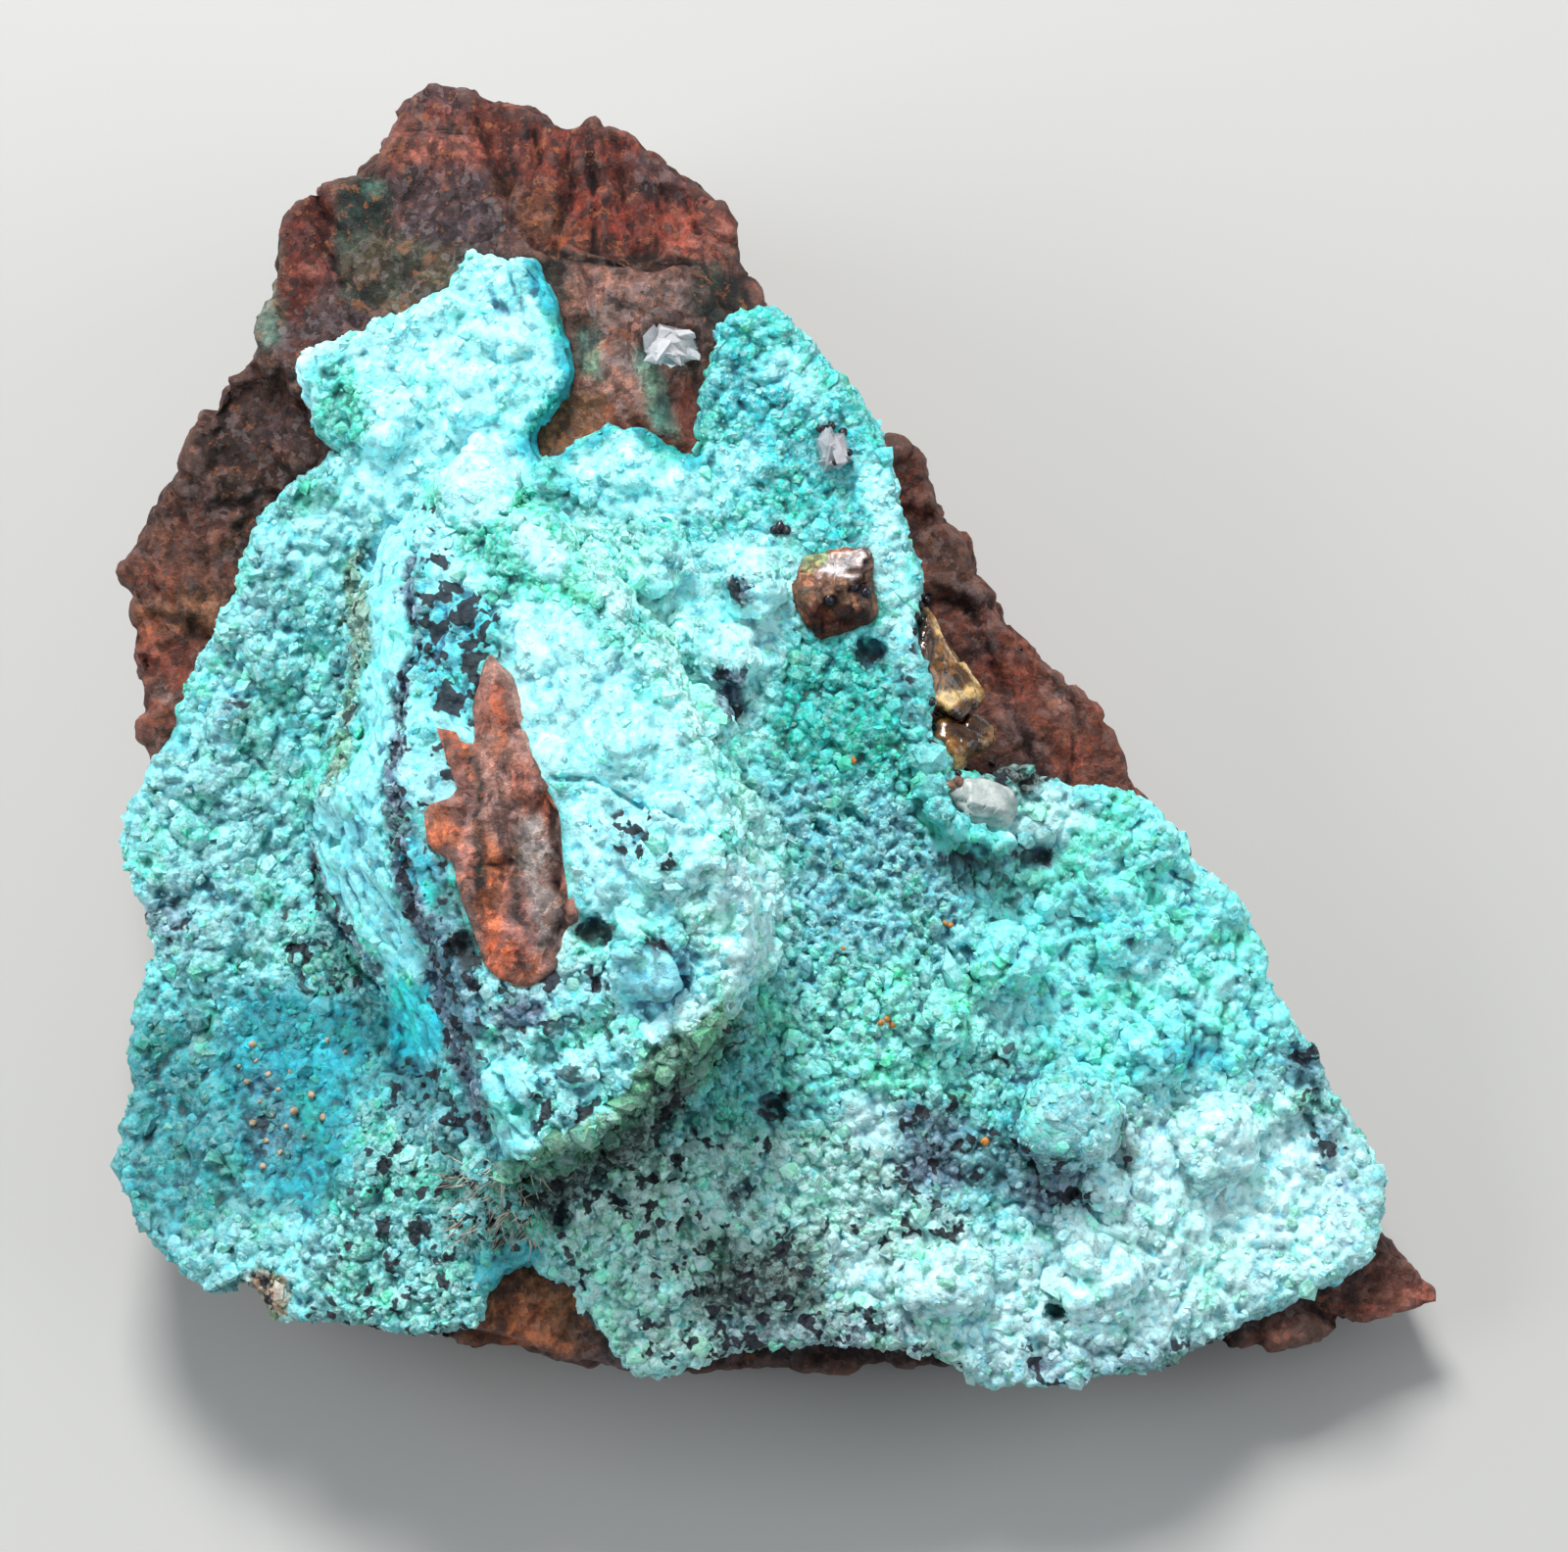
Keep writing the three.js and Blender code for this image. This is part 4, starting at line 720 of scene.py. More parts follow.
class Paint:
    """A material whose nodes are made one call each. Sizes are in mm."""

    def __init__(self, name):
        self.material = bpy.data.materials.new(name)
        self.material.use_nodes = True
        self.tree = self.material.node_tree
        self.shader = self.tree.nodes["Principled BSDF"]
        self.place = self.scaled(self.add("ShaderNodeTexCoord").outputs["Object"], 1 / MM)

    def give(self, socket, value):
        if isinstance(value, bpy.types.NodeSocket):
            self.tree.links.new(value, socket)
        else:
            socket.default_value = value

    def add(self, kind, inputs=None, **settings):
        node = self.tree.nodes.new(kind)
        for key, value in settings.items():
            setattr(node, key, value)
        for key, value in (inputs or {}).items():
            self.give(node.inputs[key], value)
        return node

    def set(self, **inputs):
        for key, value in inputs.items():
            self.give(self.shader.inputs[key.replace("_", " ")], value)

    def noise(self, size, detail=2, roughness=0.5, distortion=0.0, place=None):
        settings = {"Vector": place or self.place, "Scale": 1 / size, "Detail": detail,
                    "Roughness": roughness, "Distortion": distortion}
        return self.add("ShaderNodeTexNoise", settings).outputs["Fac"]

    def cells(self, size, place):
        """Cells: the distance to the middle of each, and a colour for each."""
        return self.add("ShaderNodeTexVoronoi", {"Vector": place, "Scale": 1 / size}).outputs

    def scaled(self, colour, factor):
        return self.add("ShaderNodeVectorMath", {0: colour, "Scale": factor}, operation="SCALE").outputs[0]

    def bent(self, size, amount):
        """Places pushed about by up to the given amount."""
        push = self.add("ShaderNodeTexNoise", {"Vector": self.place, "Scale": 1 / size, "Detail": 2})
        push = self.scaled(push.outputs["Color"], 2 * amount)
        return self.add("ShaderNodeVectorMath", {0: self.place, 1: push}, operation="ADD").outputs[0]

    def stretched(self, x, y, z):
        inputs = {0: self.place, 1: (x, y, z)}
        return self.add("ShaderNodeVectorMath", inputs, operation="MULTIPLY").outputs[0]

    def ramp(self, value, low, high, to_low=0.0, to_high=1.0):
        settings = {"Value": value, 1: low, 2: high, 3: to_low, 4: to_high}
        return self.add("ShaderNodeMapRange", settings, interpolation_type="SMOOTHSTEP").outputs[0]

    def math(self, operation, a, b):
        return self.add("ShaderNodeMath", {0: a, 1: b}, operation=operation).outputs[0]

    def times(self, a, b):
        return self.math("MULTIPLY", a, b)

    def mix(self, share, a, b, blend="MIX"):
        a, b = (value if isinstance(value, bpy.types.NodeSocket) else (*value, 1.0) for value in (a, b))
        settings = {0: share, 6: a, 7: b}
        return self.add("ShaderNodeMix", settings, data_type="RGBA", blend_type=blend).outputs[2]

    def tinted(self, share, colour, tint):
        return self.mix(share, colour, tint, "MULTIPLY")

    def read(self, name):
        """The colour and the last channel that the mesh keeps under a name."""
        outputs = self.add("ShaderNodeAttribute", attribute_name=name).outputs
        return outputs["Color"], outputs["Alpha"]

    def parts(self, colour):
        return self.add("ShaderNodeSeparateColor", {0: colour}).outputs[:3]

    def bump(self, height, strength, distance, normal=None):
        settings = {"Height": height, "Strength": strength, "Distance": distance * MM}
        if normal is not None:
            settings["Normal"] = normal
        return self.add("ShaderNodeBump", settings).outputs[0]


def crust_material():
    p = Paint("crust")
    (tint, relief), (finish, grain) = p.read("tint"), p.read("finish")
    frost, specks, gloss = p.parts(finish)
    patches, clouds = p.noise(2.6, 2, 0.6), p.noise(0.7, 2, 0.65)
    green = p.times(p.ramp(patches, 0.5, 0.68, 0, 0.85), p.ramp(frost, 0.6, 1.0, 1.0, 0.35))
    colour = p.tinted(green, tint, (0.50, 1.0, 0.72))
    colour = p.tinted(p.ramp(clouds, 0.48, 0.66, 0, 0.7), colour, (0.36, 0.86, 1.0))
    # crumbs: each its own tone, with painted shade in the crevices between them
    crumbs = p.cells(0.40, p.bent(0.5, 0.16))
    lightness, greenness, _ = p.parts(crumbs["Color"])
    colour = p.scaled(colour, p.ramp(lightness, 0.05, 0.95, 0.80, 1.28))
    colour = p.tinted(p.times(p.ramp(greenness, 0.55, 0.85, 0, 0.6), grain), colour, (0.55, 1.0, 0.72))
    # painted shade between the crumbs
    gap_shade = p.times(p.ramp(crumbs["Distance"], 0.46, 0.78, 0, 0.85), grain)
    colour = p.tinted(gap_shade, colour, (0.12, 0.42, 0.46))
    # painted shade in the hollows, less where it is powdery, and pale powdery frost on the tips, which is
    # partly the crust's own frost and partly a painted highlight
    hollow_shade = p.times(p.ramp(relief, 0.50, 0.14), p.ramp(frost, 0.4, 1.0, 0.98, 0.42))
    shadow = p.mix(p.ramp(patches, 0.50, 0.40), (0.05, 0.27, 0.29), (0.20, 0.21, 0.34))
    colour = p.tinted(hollow_shade, colour, shadow)
    # pale powdery frost on the tips, partly a painted highlight
    frost_and_highlight = p.times(p.ramp(p.noise(0.34, 3, 0.7, 0.4), 0.45, 0.56), frost)
    frost_and_highlight = p.times(frost_and_highlight, p.ramp(relief, 0.30, 0.66, 0.15, 0.95))
    colour = p.mix(frost_and_highlight, colour, p.mix(0.5, tint, (0.66, 0.98, 0.99)))
    # black mineral blotches
    blot = p.math("ADD", p.noise(1.15, 2, 0.6, 0.2), p.times(specks, 0.115))
    blot = p.times(p.ramp(blot, 0.598, 0.632), p.ramp(specks, 0.04, 0.2))
    colour = p.mix(p.times(blot, 0.97), colour, (0.006, 0.009, 0.020))
    normal = p.bump(p.ramp(crumbs["Distance"], 0.75, 0.05), p.times(grain, 0.95), 0.17)
    normal = p.bump(p.noise(0.14, 3, 0.8), 0.85, 0.11, normal)
    roughness = p.math("SUBTRACT", p.ramp(clouds, 0.3, 0.7, 0.55, 0.8), p.times(gloss, 0.4))
    p.set(Base_Color=colour, Roughness=roughness, Normal=normal, IOR=1.55)
    return p.material


def rock_material(name):
    p = Paint(name)
    (colour, relief), (finish, _) = p.read("tint"), p.read("finish")
    grey, dark, gloss = p.parts(finish)
    blocks, flecks = p.cells(2.1, p.bent(0.7, 0.9)), p.cells(0.34, p.bent(0.3, 0.18))
    block, fleck = p.parts(blocks["Color"]), p.parts(flecks["Color"])
    # broken blocks and mineral flecks, each of its own shade
    colour = p.scaled(colour, p.ramp(block[0], 0.0, 1.0, 0.68, 1.30))
    colour = p.scaled(colour, p.ramp(fleck[0], 0.0, 1.0, 0.75, 1.30))
    colour = p.scaled(colour, p.ramp(p.noise(0.9, 5, 0.75), 0.36, 0.64, 0.5, 1.5))
    colour = p.tinted(p.ramp(block[1], 0.4, 0.9, 0, 0.7), colour, (1.3, 0.82, 0.66))
    ash = p.times(p.ramp(fleck[1], 0.66, 0.80), grey)
    colour = p.mix(p.times(ash, 0.5), colour, (0.30, 0.25, 0.26))
    pepper = p.times(p.ramp(fleck[2], 0.72, 0.82), dark)
    colour = p.mix(p.times(pepper, 0.9), colour, (0.014, 0.012, 0.014))
    # dark seams and rust
    seams = p.noise(1.5, 4, 0.65, 0.3, p.stretched(1.0, 0.3, 0.45))
    colour = p.mix(p.times(p.ramp(seams, 0.54, 0.62, 0, 1.2), dark), colour, (0.014, 0.010, 0.012))
    rust = p.times(p.ramp(p.noise(0.8, 4, 0.75), 0.56, 0.64, 0, 0.9), dark)
    colour = p.mix(rust, colour, (0.40, 0.14, 0.06))
    # painted shade in the hollows, and a paler colour on the tips and edges
    colour = p.tinted(p.ramp(relief, 0.45, 0.08, 0, 0.9), colour, (0.22, 0.19, 0.20))
    colour = p.mix(p.ramp(relief, 0.60, 0.90, 0, 0.16), colour, (0.42, 0.26, 0.22))
    normal = p.bump(p.noise(0.45, 5, 0.8), 1.0, 0.28)
    normal = p.bump(p.noise(0.15, 3, 0.7), 0.8, 0.07, normal)
    roughness = p.math("SUBTRACT", p.ramp(seams, 0.3, 0.7, 0.5, 0.8), p.times(gloss, 0.42))
    p.set(Base_Color=colour, Roughness=roughness, Normal=normal, IOR=1.5, Specular_IOR_Level=0.3)
    return p.material


def amber_material():
    """Glossy brown, with honey-coloured depths and pale edges."""
    p = Paint("amber")
    tint, relief = p.read("tint")
    colour = p.scaled(tint, p.ramp(p.noise(0.7, 5, 0.75, 0.5), 0.36, 0.62, 0.35, 1.9))
    colour = p.mix(p.ramp(relief, 0.66, 0.95, 0, 0.35), colour, (0.62, 0.42, 0.17))
    colour = p.mix(p.ramp(p.noise(0.5, 4, 0.7), 0.60, 0.66, 0, 0.9), colour, (0.012, 0.006, 0.004))
    p.set(Base_Color=colour, Roughness=p.ramp(p.noise(0.4, 3), 0.3, 0.7, 0.06, 0.28))
    p.set(Normal=p.bump(p.noise(0.5, 4, 0.6, 0.3), 0.7, 0.10), IOR=1.6, Coat_Weight=0.6, Coat_Roughness=0.05)
    return p.material


def plain_material(name, colours, patches, sheen, ridges=None, **finish):
    """Patches of two colours. Each of patches, sheen and ridges starts with what its noise takes."""
    p = Paint(name)
    colour = p.mix(p.ramp(p.noise(*patches[0]), *patches[1:]), *colours)
    p.set(Base_Color=colour, Roughness=p.ramp(p.noise(*sheen[0]), *sheen[1:]), **finish)
    if ridges:
        p.set(Normal=p.bump(p.noise(*ridges[0]), *ridges[1:]))
    return p.material


# Pieces that stand for CAD nodes

def knobs(face):
    pixels = in_picture(face) + 9 * pushes(face, 0.8, (181, 185))
    raised = np.zeros(len(face))
    for _, *numbers in KNOBS:
        for x, y, radius, height in np.reshape(numbers, (-1, 4)):
            away = np.linalg.norm(pixels - np.array([x, y]), axis=1) / radius
            raised += height * np.sqrt(np.clip(1 - away**2, 0, 1))
    return raised


def cuts(lines, face):
    """The depth of the cracks and grooves at each point, in mm."""
    pixels = in_picture(face) + 5 * pushes(face, 0.9, (191, 195))
    deepest = np.zeros(len(face))
    for _, width, depth, *numbers in lines:
        corners = np.reshape(numbers, (-1, 2))
        near = within(pixels, corners, width)
        away = np.full(np.count_nonzero(near), FAR)
        for a, b in zip(corners, corners[1:]):
            away = np.minimum(away, from_side(pixels[near], a, b))
        deepest[near] = np.maximum(deepest[near], depth * np.clip(1 - away / width, 0, 1))
    return deepest


def crust_shape(channels, face):
    """How far the crust stands proud of its CAD form, in mm, and what each lump does to its colour."""
    mounds, lumps, grains, ridges, flakes = channels[:, SHAPE].T
    bent = warped(face, 2.0, 0.5, 21)
    big, _ = bumps(bent, 2.3, 31)
    middle, own = bumps(bent, 0.95, 41)
    small, _ = bumps(warped(face, 0.6, 0.16, 24), 0.48, 51)
    coral = 1 - np.clip(np.abs(noise(bent, 0.62, 61, 2)) * 3, 0, 1)
    raised = mounds * (big - 0.4) + lumps * (middle - 0.4) + grains * (small - 0.4) + ridges * (coral - 0.5)
    leaning = face * np.array([1.0, 0.7, 1.0]) + np.outer(face[:, 1], [0.3, 0, 0])
    raised += flakes * facets(warped(leaning, 0.9, 0.35, 27), 1.05, 77)
    raised += grains * noise(bent, 0.42, 57, 2)
    raised += knobs(face) - cuts(CRUST_CUTS, face) + 0.25 * noise(face, 5.0, 71, 2)
    return raised, 0.72 + 0.5 * own


def rock_shape(channels, face):
    """The same for rock: broken faces, steps, roughness, furrows that run up the face, and grit."""
    broken, steps, rough, streaks, grit = channels[:, SHAPE].T
    bent = warped(face, 4.0, 0.8, 81)
    along = face * np.array([1.0, 0.14, 0.4]) + np.outer(face[:, 1], [0.18, 0, 0])
    raised = broken * facets(bent, 5.2, 91) + steps * facets(bent, 1.9, 101)
    raised += rough * noise(face, 1.3, 111, 3)
    raised += streaks * noise(along, 2.4, 121, 3) + grit * facets(warped(face, 0.8, 0.3, 127), 0.8, 131)
    return raised - cuts(ROCK_CUTS, face), 0.85 + 0.3 * (0.5 + 0.5 * noise(face, 1.1, 141, 2))


def dressed(node, names, slot, paint, material, shape, relief_gain, smoothing=0, settling=0, spread_to=(),
            bounds=(-EDGE, EDGE)):
    """A CAD node as one fine mesh, painted, and raised by shape(channels, face). Its pieces lie side by side
    between the bounds, which are distances across the face, in mm."""
    voxel = VOXEL.get(slot, VOXEL["grain"]) * MM
    mesh = with_modifier(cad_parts[node].data.copy(), "REMESH", mode="VOXEL", voxel_size=voxel)
    set_vertices(mesh, blurred(mesh, vertices_of(mesh), smoothing))
    points = vertices_of(mesh)
    face = to_face(points)
    raised, _ = shape(painted(*paint, face), face)
    distance = away_from_nodes(points, others_than(node), NEAR)
    hidden = closeness(distance, JOINED)
    if spread_to:
        distance = away_from_nodes(points, spread_to, NEAR)
    sideways = np.clip(1.6 - 2 * (normals_of(mesh) @ ALONG_W), 0, 1)
    outwards = raised * (1 - hidden) + CLOSING * closeness(distance, NEAR) * sideways
    points = points + normals_of(mesh) * (np.clip(outwards, DEEPEST, HIGHEST) * MM)[:, None]
    points = blurred(mesh, points, settling)
    points[:, 2] = np.maximum(points[:, 2], 0)
    set_vertices(mesh, points)
    most = MOST_FACES.get(slot)
    if most:
        mesh = with_modifier(mesh, "TRIANGULATE")
    if most and len(mesh.polygons) > most:
        mesh = with_modifier(mesh, "DECIMATE", 0.9 * hidden, ratio=most / len(mesh.polygons))
    mesh.polygons.foreach_set("use_smooth", np.full(len(mesh.polygons), True))
    points = vertices_of(mesh)
    face = to_face(points)
    channels = painted(*paint, face)
    _, own = shape(channels, face)
    # relief: how far each vertex stands over its blurred neighbours, which the materials turn into painted
    # shade in the hollows and a paler colour on the tips
    height = np.sum((points - blurred(mesh, points, RELIEF_ROUNDS)) * normals_of(mesh), axis=1) / MM
    relief = np.clip(0.5 + relief_gain * height, 0, 1)
    tint, grain = channels[:, COLOUR] * own[:, None], np.clip(channels[:, GRAIN_HEIGHT] * 7 - 0.95, 0, 1)
    corners = triangles_of(mesh)
    across = face[:, 0][corners].mean(axis=1)
    for name, low, high in zip(names, bounds, bounds[1:]):
        kept, faces = np.unique(corners[(across >= low) & (across < high)], return_inverse=True)
        part = mesh_of(name, points[kept], faces.reshape(-1, 3))
        write_channels(part, tint[kept], relief[kept], channels[kept, FINISH], grain[kept])
        new_piece(name, part, slot, material, node)
    return mesh, channels


# Loose grains, needles and small crystals

def taken_from(made):
    """Corners and triangles of a bmesh, which is freed."""
    points = np.array([v.co for v in made.verts])
    faces = np.array([[v.index for v in face.verts] for face in made.faces])
    made.free()
    return points, faces


def ball(subdivisions):
    """Corners and triangles of a ball of radius 1."""
    made = bmesh.new()
    bmesh.ops.create_icosphere(made, subdivisions=subdivisions, radius=1)
    return taken_from(made)


def broken_crystal(rng):
    """Corners and triangles of a broken block with flat faces, about 1 in radius."""
    made = bmesh.new()
    for corner in rng.uniform(-1, 1, (11, 3)):
        made.verts.new(corner * np.array([0.75, 0.6, 1.0]))
    hull = bmesh.ops.convex_hull(made, input=list(made.verts))
    bmesh.ops.delete(made, geom=list({part for part in hull["geom_interior"]}), context="VERTS")
    made.verts.index_update()
    return taken_from(made)


def turns(rng, count):
    """Rotation matrices in all directions."""
    q = rng.normal(size=(count, 4))
    w, x, y, z = (q / np.linalg.norm(q, axis=1)[:, None]).T
    return np.array([[1 - 2 * (y * y + z * z), 2 * (x * y - z * w), 2 * (x * z + y * w)],
                     [2 * (x * y + z * w), 1 - 2 * (x * x + z * z), 2 * (y * z - x * w)],
                     [2 * (x * z - y * w), 2 * (y * z + x * w), 1 - 2 * (x * x + y * y)]]).transpose(2, 0, 1)


def seats(mesh, weights, rng):
    """Places on a mesh, in metres, with the way out of it and the number of a vertex near each."""
    corners = triangles_of(mesh)
    points = vertices_of(mesh)
    a, b, c = (points[corners[:, k]] for k in range(3))
    area = np.linalg.norm(np.cross(b - a, c - a), axis=1) / (2 * MM * MM)
    share = area * weights[corners].mean(axis=1)
    count = min(MOST_GRAINS, int(share.sum()))
    chosen = rng.choice(len(corners), count, p=share / share.sum())
    mixture = rng.dirichlet((1, 1, 1), count)
    places = np.einsum("nk,nkx->nx", mixture, points[corners[chosen]])
    outward = normals_of(mesh)[corners[chosen]].mean(axis=1)
    return places, outward / np.linalg.norm(outward, axis=1)[:, None], corners[chosen, 0]


def pebbles(rng, places, outward, radius, subdivisions=1, uneven=0.36, squash=0.75, sunk=0.25):
    """Irregular grains as one mesh's arrays: corners, faces, and each corner's height over its middle."""
    shape, faces = ball(subdivisions)
    count = len(places)
    lumpy = shape[None] * (1 + uneven * rng.uniform(-1, 1, (count, len(shape), 1)))
    lumpy = lumpy * rng.uniform(0.75, 1.25, (count, 1, 3))
    turned = np.einsum("nxy,nky->nkx", turns(rng, count), lumpy)
    rise = np.einsum("nkx,nx->nk", turned, outward)
    turned -= (1 - squash) * rise[..., None] * outward[:, None, :]
    points = (places - sunk * radius[:, None] * MM * outward)[:, None] + turned * radius[:, None, None] * MM
    numbered = faces[None] + (np.arange(count) * len(shape))[:, None, None]
    return points.reshape(-1, 3), numbered.reshape(-1, 3), rise.reshape(-1)


def crust_grains(mesh, channels, material):
    """Grains all over the crust, in pieces from left to right."""
    rng = np.random.default_rng(11)
    points = vertices_of(mesh)
    open_air = 1 - closeness(away_from_nodes(points, others_than("hemimorphite_crust"), NEAR), NEAR)
    clumps = np.clip(0.5 + 1.3 * noise(to_face(points), 2.2, 151, 2), 0, 1)
    cover, radius = channels[:, COVER], channels[:, RADIUS]
    upward = normals_of(mesh) @ np.array(ALONG_W) > -0.5
    lifted = points[:, 2] > 0.8 * MM
    weights = cover * (0.35 + 0.9 * clumps) * open_air * upward * lifted / (math.pi * radius**2)
    places, outward, near = seats(mesh, weights, rng)
    size = radius[near] * rng.lognormal(-0.12, 0.42, len(near))
    kind = painted("aqua", CRUST_KINDS, CRUST_ZONES, warped(to_face(places), 0.3, 0.5, 161))
    whiter = (kind[:, FROST] * rng.uniform(0, 1, len(size)) ** 2)[:, None] * 0.55
    greener = np.where(rng.uniform(0, 1, (len(size), 1)) < 0.25, np.array([[0.6, 1.0, 0.74]]), 1.0)
    own = kind[:, COLOUR] * rng.uniform(0.6, 1.3, (len(size), 1)) * greener
    tint = own * (1 - whiter) + np.array([0.66, 0.94, 0.95]) * whiter
    across = to_face(places)[:, 0]
    third, two_thirds = np.quantile(across, (1 / 3, 2 / 3))
    side = (across >= third).astype(int) + (across >= two_thirds)
    for number, name in enumerate(("crust_grains_left", "crust_grains_middle", "crust_grains_right")):
        chosen = side == number
        points, faces, rise = pebbles(rng, places[chosen], outward[chosen], size[chosen])
        grains = mesh_of(name, points, faces, smooth=False)
        each = len(points) // np.count_nonzero(chosen)
        # each grain's relief rises from its foot to its top, so the crust material paints shade at its foot
        # and pale powdery frost, partly a painted highlight, on its top
        write_channels(grains, np.repeat(tint[chosen], each, axis=0), np.clip(0.42 + 0.45 * rise, 0, 1),
                       np.repeat(kind[chosen, FINISH], each, axis=0), np.full(len(points), 0.15))
        new_piece(name, grains, "crust", material)


class Eye:
    """Finds what lies at a place of the photograph."""

    def __init__(self, *meshes):
        self.trees = [tree_of(mesh) for mesh in meshes]
        self.at = Vector(from_face((0, 0, EYE_DISTANCE))[0])

    def place(self, x, y):
        aim = from_face(((x - PICTURE[0] / 2) / PER_MM, (PICTURE[1] / 2 - y) / PER_MM, 0))[0]
        hits = [tree.ray_cast(self.at, (Vector(aim) - self.at).normalized()) for tree in self.trees]
        hit, normal, _, _ = min((hit for hit in hits if hit[0]), key=lambda hit: hit[3])
        return np.array(hit), np.array(normal)


def specks(eye):
    rng = np.random.default_rng(23)
    for name, red, green, blue, gloss, radius, *spots in SPECKS:
        found = [eye.place(x, y) for x, y in np.reshape(spots, (-1, 2))]
        places, outward = (np.array(part) for part in zip(*found))
        size = radius * rng.uniform(0.7, 1.3, len(found))
        points, faces, _ = pebbles(rng, places, outward, size, 2, 0.16, 0.85, 0.0)
        colours = (red, green, blue), (0.5 * red, 0.5 * green, 0.5 * blue)
        sheen = (0.2, 2), 0.3, 0.7, 0.5 - 0.4 * gloss, 0.8 - 0.4 * gloss
        material = plain_material(name, colours, ((0.25, 3, 0.6), 0.4, 0.65), sheen)
        new_piece(name, mesh_of(name, points, faces), "crust", material)


def crystals(side, tint, middle, reach, count, size, seed):
    """A cluster of clear broken crystals, in the place of one CAD crystal. middle and reach are in mm."""
    rng = np.random.default_rng(seed)
    node = f"clear_crystal_{side}"
    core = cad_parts[node].data
    points, faces = [vertices_of(core)], [np.array([tuple(face.vertices) for face in core.polygons])]
    total = len(points[0])
    for turn in turns(rng, count):
        shape, sides = broken_crystal(rng)
        place = np.array(middle) + rng.uniform(-1, 1, 3) * reach
        radius = size * rng.uniform(0.6, 1.1)
        points.append(from_face(place) + shape @ turn.T * radius * MM)
        faces.append(sides + total)
        total += len(shape)
    mesh = mesh_of(f"crystals_{side}", np.concatenate(points), np.concatenate(faces), smooth=False)
    material = plain_material(f"crystal_{side}", (tint, tuple(0.8 * part for part in tint)),
                              ((0.5, 4, 0.7), 0.45, 0.7), ((0.3, 3), 0.35, 0.65, 0.04, 0.2),
                              ((0.25, 4, 0.6), 0.4, 0.05), IOR=1.55, Transmission_Weight=0.6)
    new_piece(f"crystals_{side}", mesh, "crystal", material, node)


def needles(eye):
    """A spray of fine needles below the fin, as thin tapered prisms."""
    rng = np.random.default_rng(31)
    points, faces = [], []
    for _ in range(NEEDLES):
        x, y = (rng.uniform(*side) for side in SPRAY)
        foot, outward = eye.place(x, y)
        turn = math.atan2(SPRAY_ROOT[1] - y, x - SPRAY_ROOT[0]) + rng.normal(0, 0.5)
        length = rng.uniform(0.6, 1.7) * MM
        along = math.cos(turn) * np.array([1.0, 0, 0]) + math.sin(turn) * ALONG_V
        along = along + rng.uniform(0.0, 0.5) * outward
        along /= np.linalg.norm(along)
        across = np.cross(along, outward)
        across /= np.linalg.norm(across)
        width = rng.uniform(0.05, 0.11) * MM
        base = len(points)
        sides = [math.cos(t) * across + math.sin(t) * np.cross(along, across) for t in (0, 2.1, 4.2)]
        points += [foot - 0.2 * MM * outward + width * side for side in sides]
        points.append(foot + along * length)
        faces += [[base, base + 1, base + 3], [base + 1, base + 2, base + 3], [base + 2, base, base + 3],
                  [base, base + 2, base + 1]]
    mesh = mesh_of("needle_spray", np.array(points), np.array(faces))
    colours = (0.62, 0.64, 0.56), (0.34, 0.30, 0.22)
    material = plain_material("needles", colours, ((0.6, 3, 0.6), 0.4, 0.65), ((0.3, 2), 0.3, 0.7, 0.25, 0.5),
                              IOR=1.6)
    new_piece("needle_spray", mesh, "crust", material)


CRUST = crust_material()
crust_mesh, crust_channels = dressed(
    "hemimorphite_crust", ("crust_left", "crust_right"), "crust", ("aqua", CRUST_KINDS, CRUST_ZONES), CRUST,
    crust_shape, 2.8, smoothing=4, bounds=(-EDGE, HALFWAY, EDGE))
dressed("matrix", ("rock",), "rock", ("brown", ROCK_KINDS, ROCK_ZONES), rock_material("rock"), rock_shape,
        1.4, smoothing=2, settling=1)
AMBER = amber_material()
MILKY = plain_material("milky", ((0.66, 0.72, 0.70), (0.42, 0.50, 0.49)), ((0.9, 5, 0.65), 0.4, 0.65),
                       ((0.4, 3), 0.3, 0.7, 0.2, 0.45), ((0.3, 4, 0.6), 0.6, 0.08), IOR=1.6,
                       Transmission_Weight=0.25)
for node, name, slot, base, zones, material, smoothing in (
        ("rock_chip", "brown_chip", "chip", "chip", CHIP_ZONES, rock_material("chip"), 0),
        ("amber_grain_upper", "amber_upper", "amber", "honey", AMBER_ZONES, AMBER, 0),
        ("amber_grain_lower", "amber_lower", "amber", "honey", AMBER_ZONES, AMBER, 0),
        ("milky_grain", "milky", "milky", "chip", (), MILKY, 2)):
    dressed(node, (name,), slot, (base, GRAIN_KINDS, zones), material, rock_shape, 1.2, smoothing,
            spread_to=("hemimorphite_crust",))
crystals("top", (0.93, 0.94, 0.97), (-5.75, 21.9, 0.1), (1.0, 0.7, 0.25), 15, 0.8, 41)
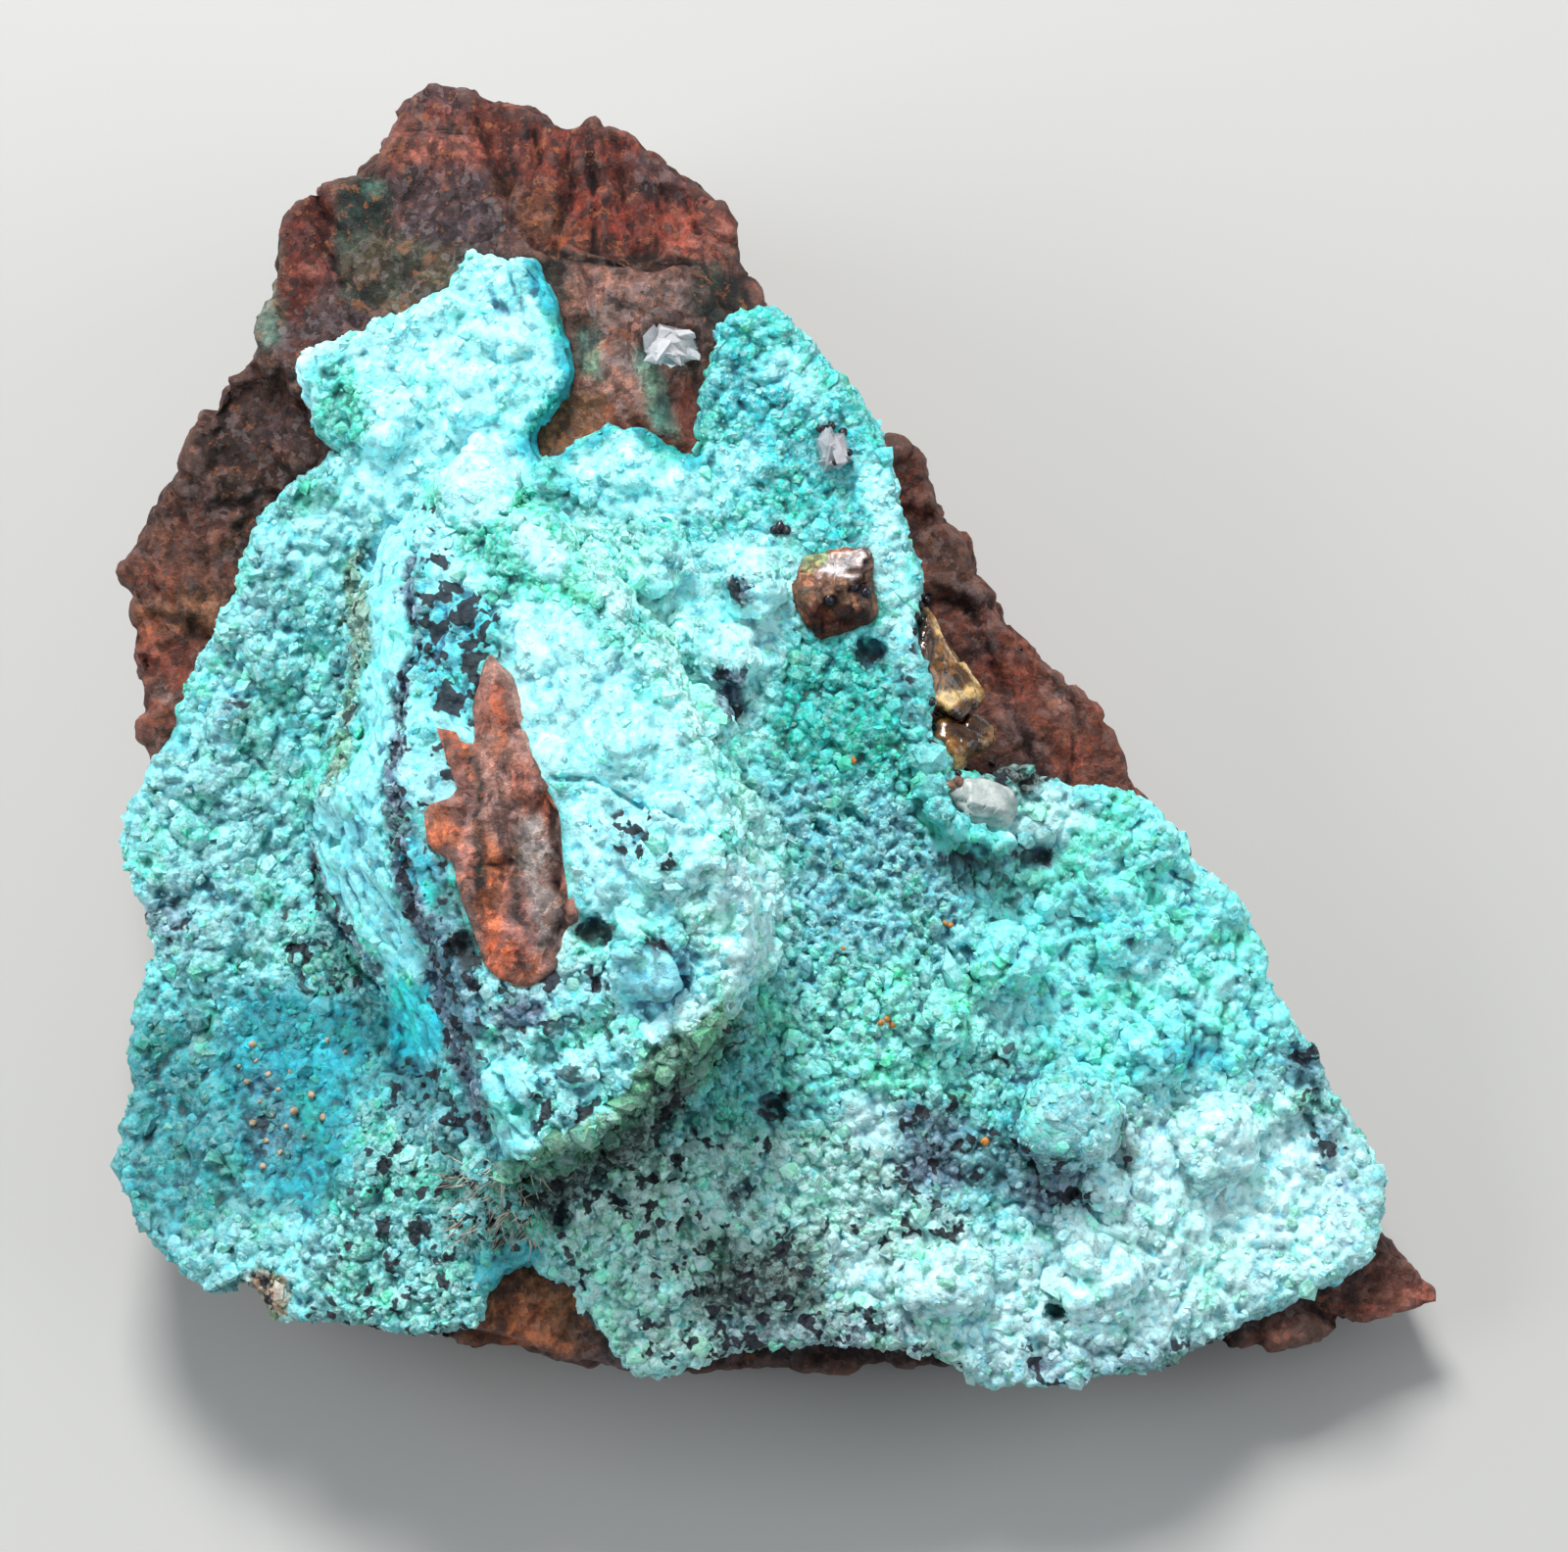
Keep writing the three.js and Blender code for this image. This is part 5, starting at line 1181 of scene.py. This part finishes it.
crystals("right", (0.80, 0.80, 0.85), (2.5, 16.7, 0.1), (0.6, 0.75, 0.25), 9, 0.75, 43)
crust_grains(crust_mesh, crust_channels, CRUST)
eye = Eye(crust_mesh, *(node.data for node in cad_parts.values()))
specks(eye)
needles(eye)


# Floor, light and camera

def soft_light(name, place, size, power, colour):
    """A square lamp that faces the middle of the face. place is in the face frame, in mm."""
    lamp = bpy.data.lights.new(name, "AREA")
    lamp.size = size
    lamp.energy = power
    lamp.color = colour
    holder = placed(name, lamp)
    holder.location = Vector(from_face(place)[0])
    target = Vector(from_face((0, 0, 0))[0])
    holder.rotation_euler = (target - holder.location).to_track_quat("-Z", "Y").to_euler()


def studio():
    side = 3.0
    corners = [(-side, -side, 0), (side, -side, 0), (side, side, 0), (-side, side, 0)]
    mesh = bpy.data.meshes.new("floor")
    mesh.from_pydata(corners, [], [(0, 1, 2, 3)])
    floor = placed("floor", mesh)
    p = Paint("floor")
    p.set(Base_Color=(0.45, 0.45, 0.44, 1), Roughness=0.9)
    mesh.materials.append(p.material)
    soft_light("key", (-70, 370, 270), 0.14, 2.85, (1.0, 0.98, 0.96))
    soft_light("fill", (-330, 60, 230), 0.24, 0.8, (0.94, 0.97, 1.0))
    soft_light("side", (320, 40, 220), 0.30, 0.55, (0.95, 0.98, 1.0))
    world = bpy.data.worlds.new("world")
    world.use_nodes = True
    background = world.node_tree.nodes["Background"]
    background.inputs["Color"].default_value = (0.80, 0.86, 0.92, 1)
    background.inputs["Strength"].default_value = 0.31
    bpy.context.scene.world = world
    bpy.context.scene.view_settings.view_transform = "Standard"


def camera():
    lens = bpy.data.cameras.new("camera")
    lens.sensor_width = 36
    lens.lens = lens.sensor_width * EYE_DISTANCE / FIELD
    lens.clip_start, lens.clip_end = 0.01, 20
    holder = placed("camera", lens)
    turn = Matrix(((1, 0, 0), tuple(ALONG_V), tuple(ALONG_W))).transposed()
    holder.matrix_world = Matrix.Translation(Vector(from_face((0, 0, EYE_DISTANCE))[0])) @ turn.to_4x4()
    bpy.context.scene.camera = holder


studio()
camera()
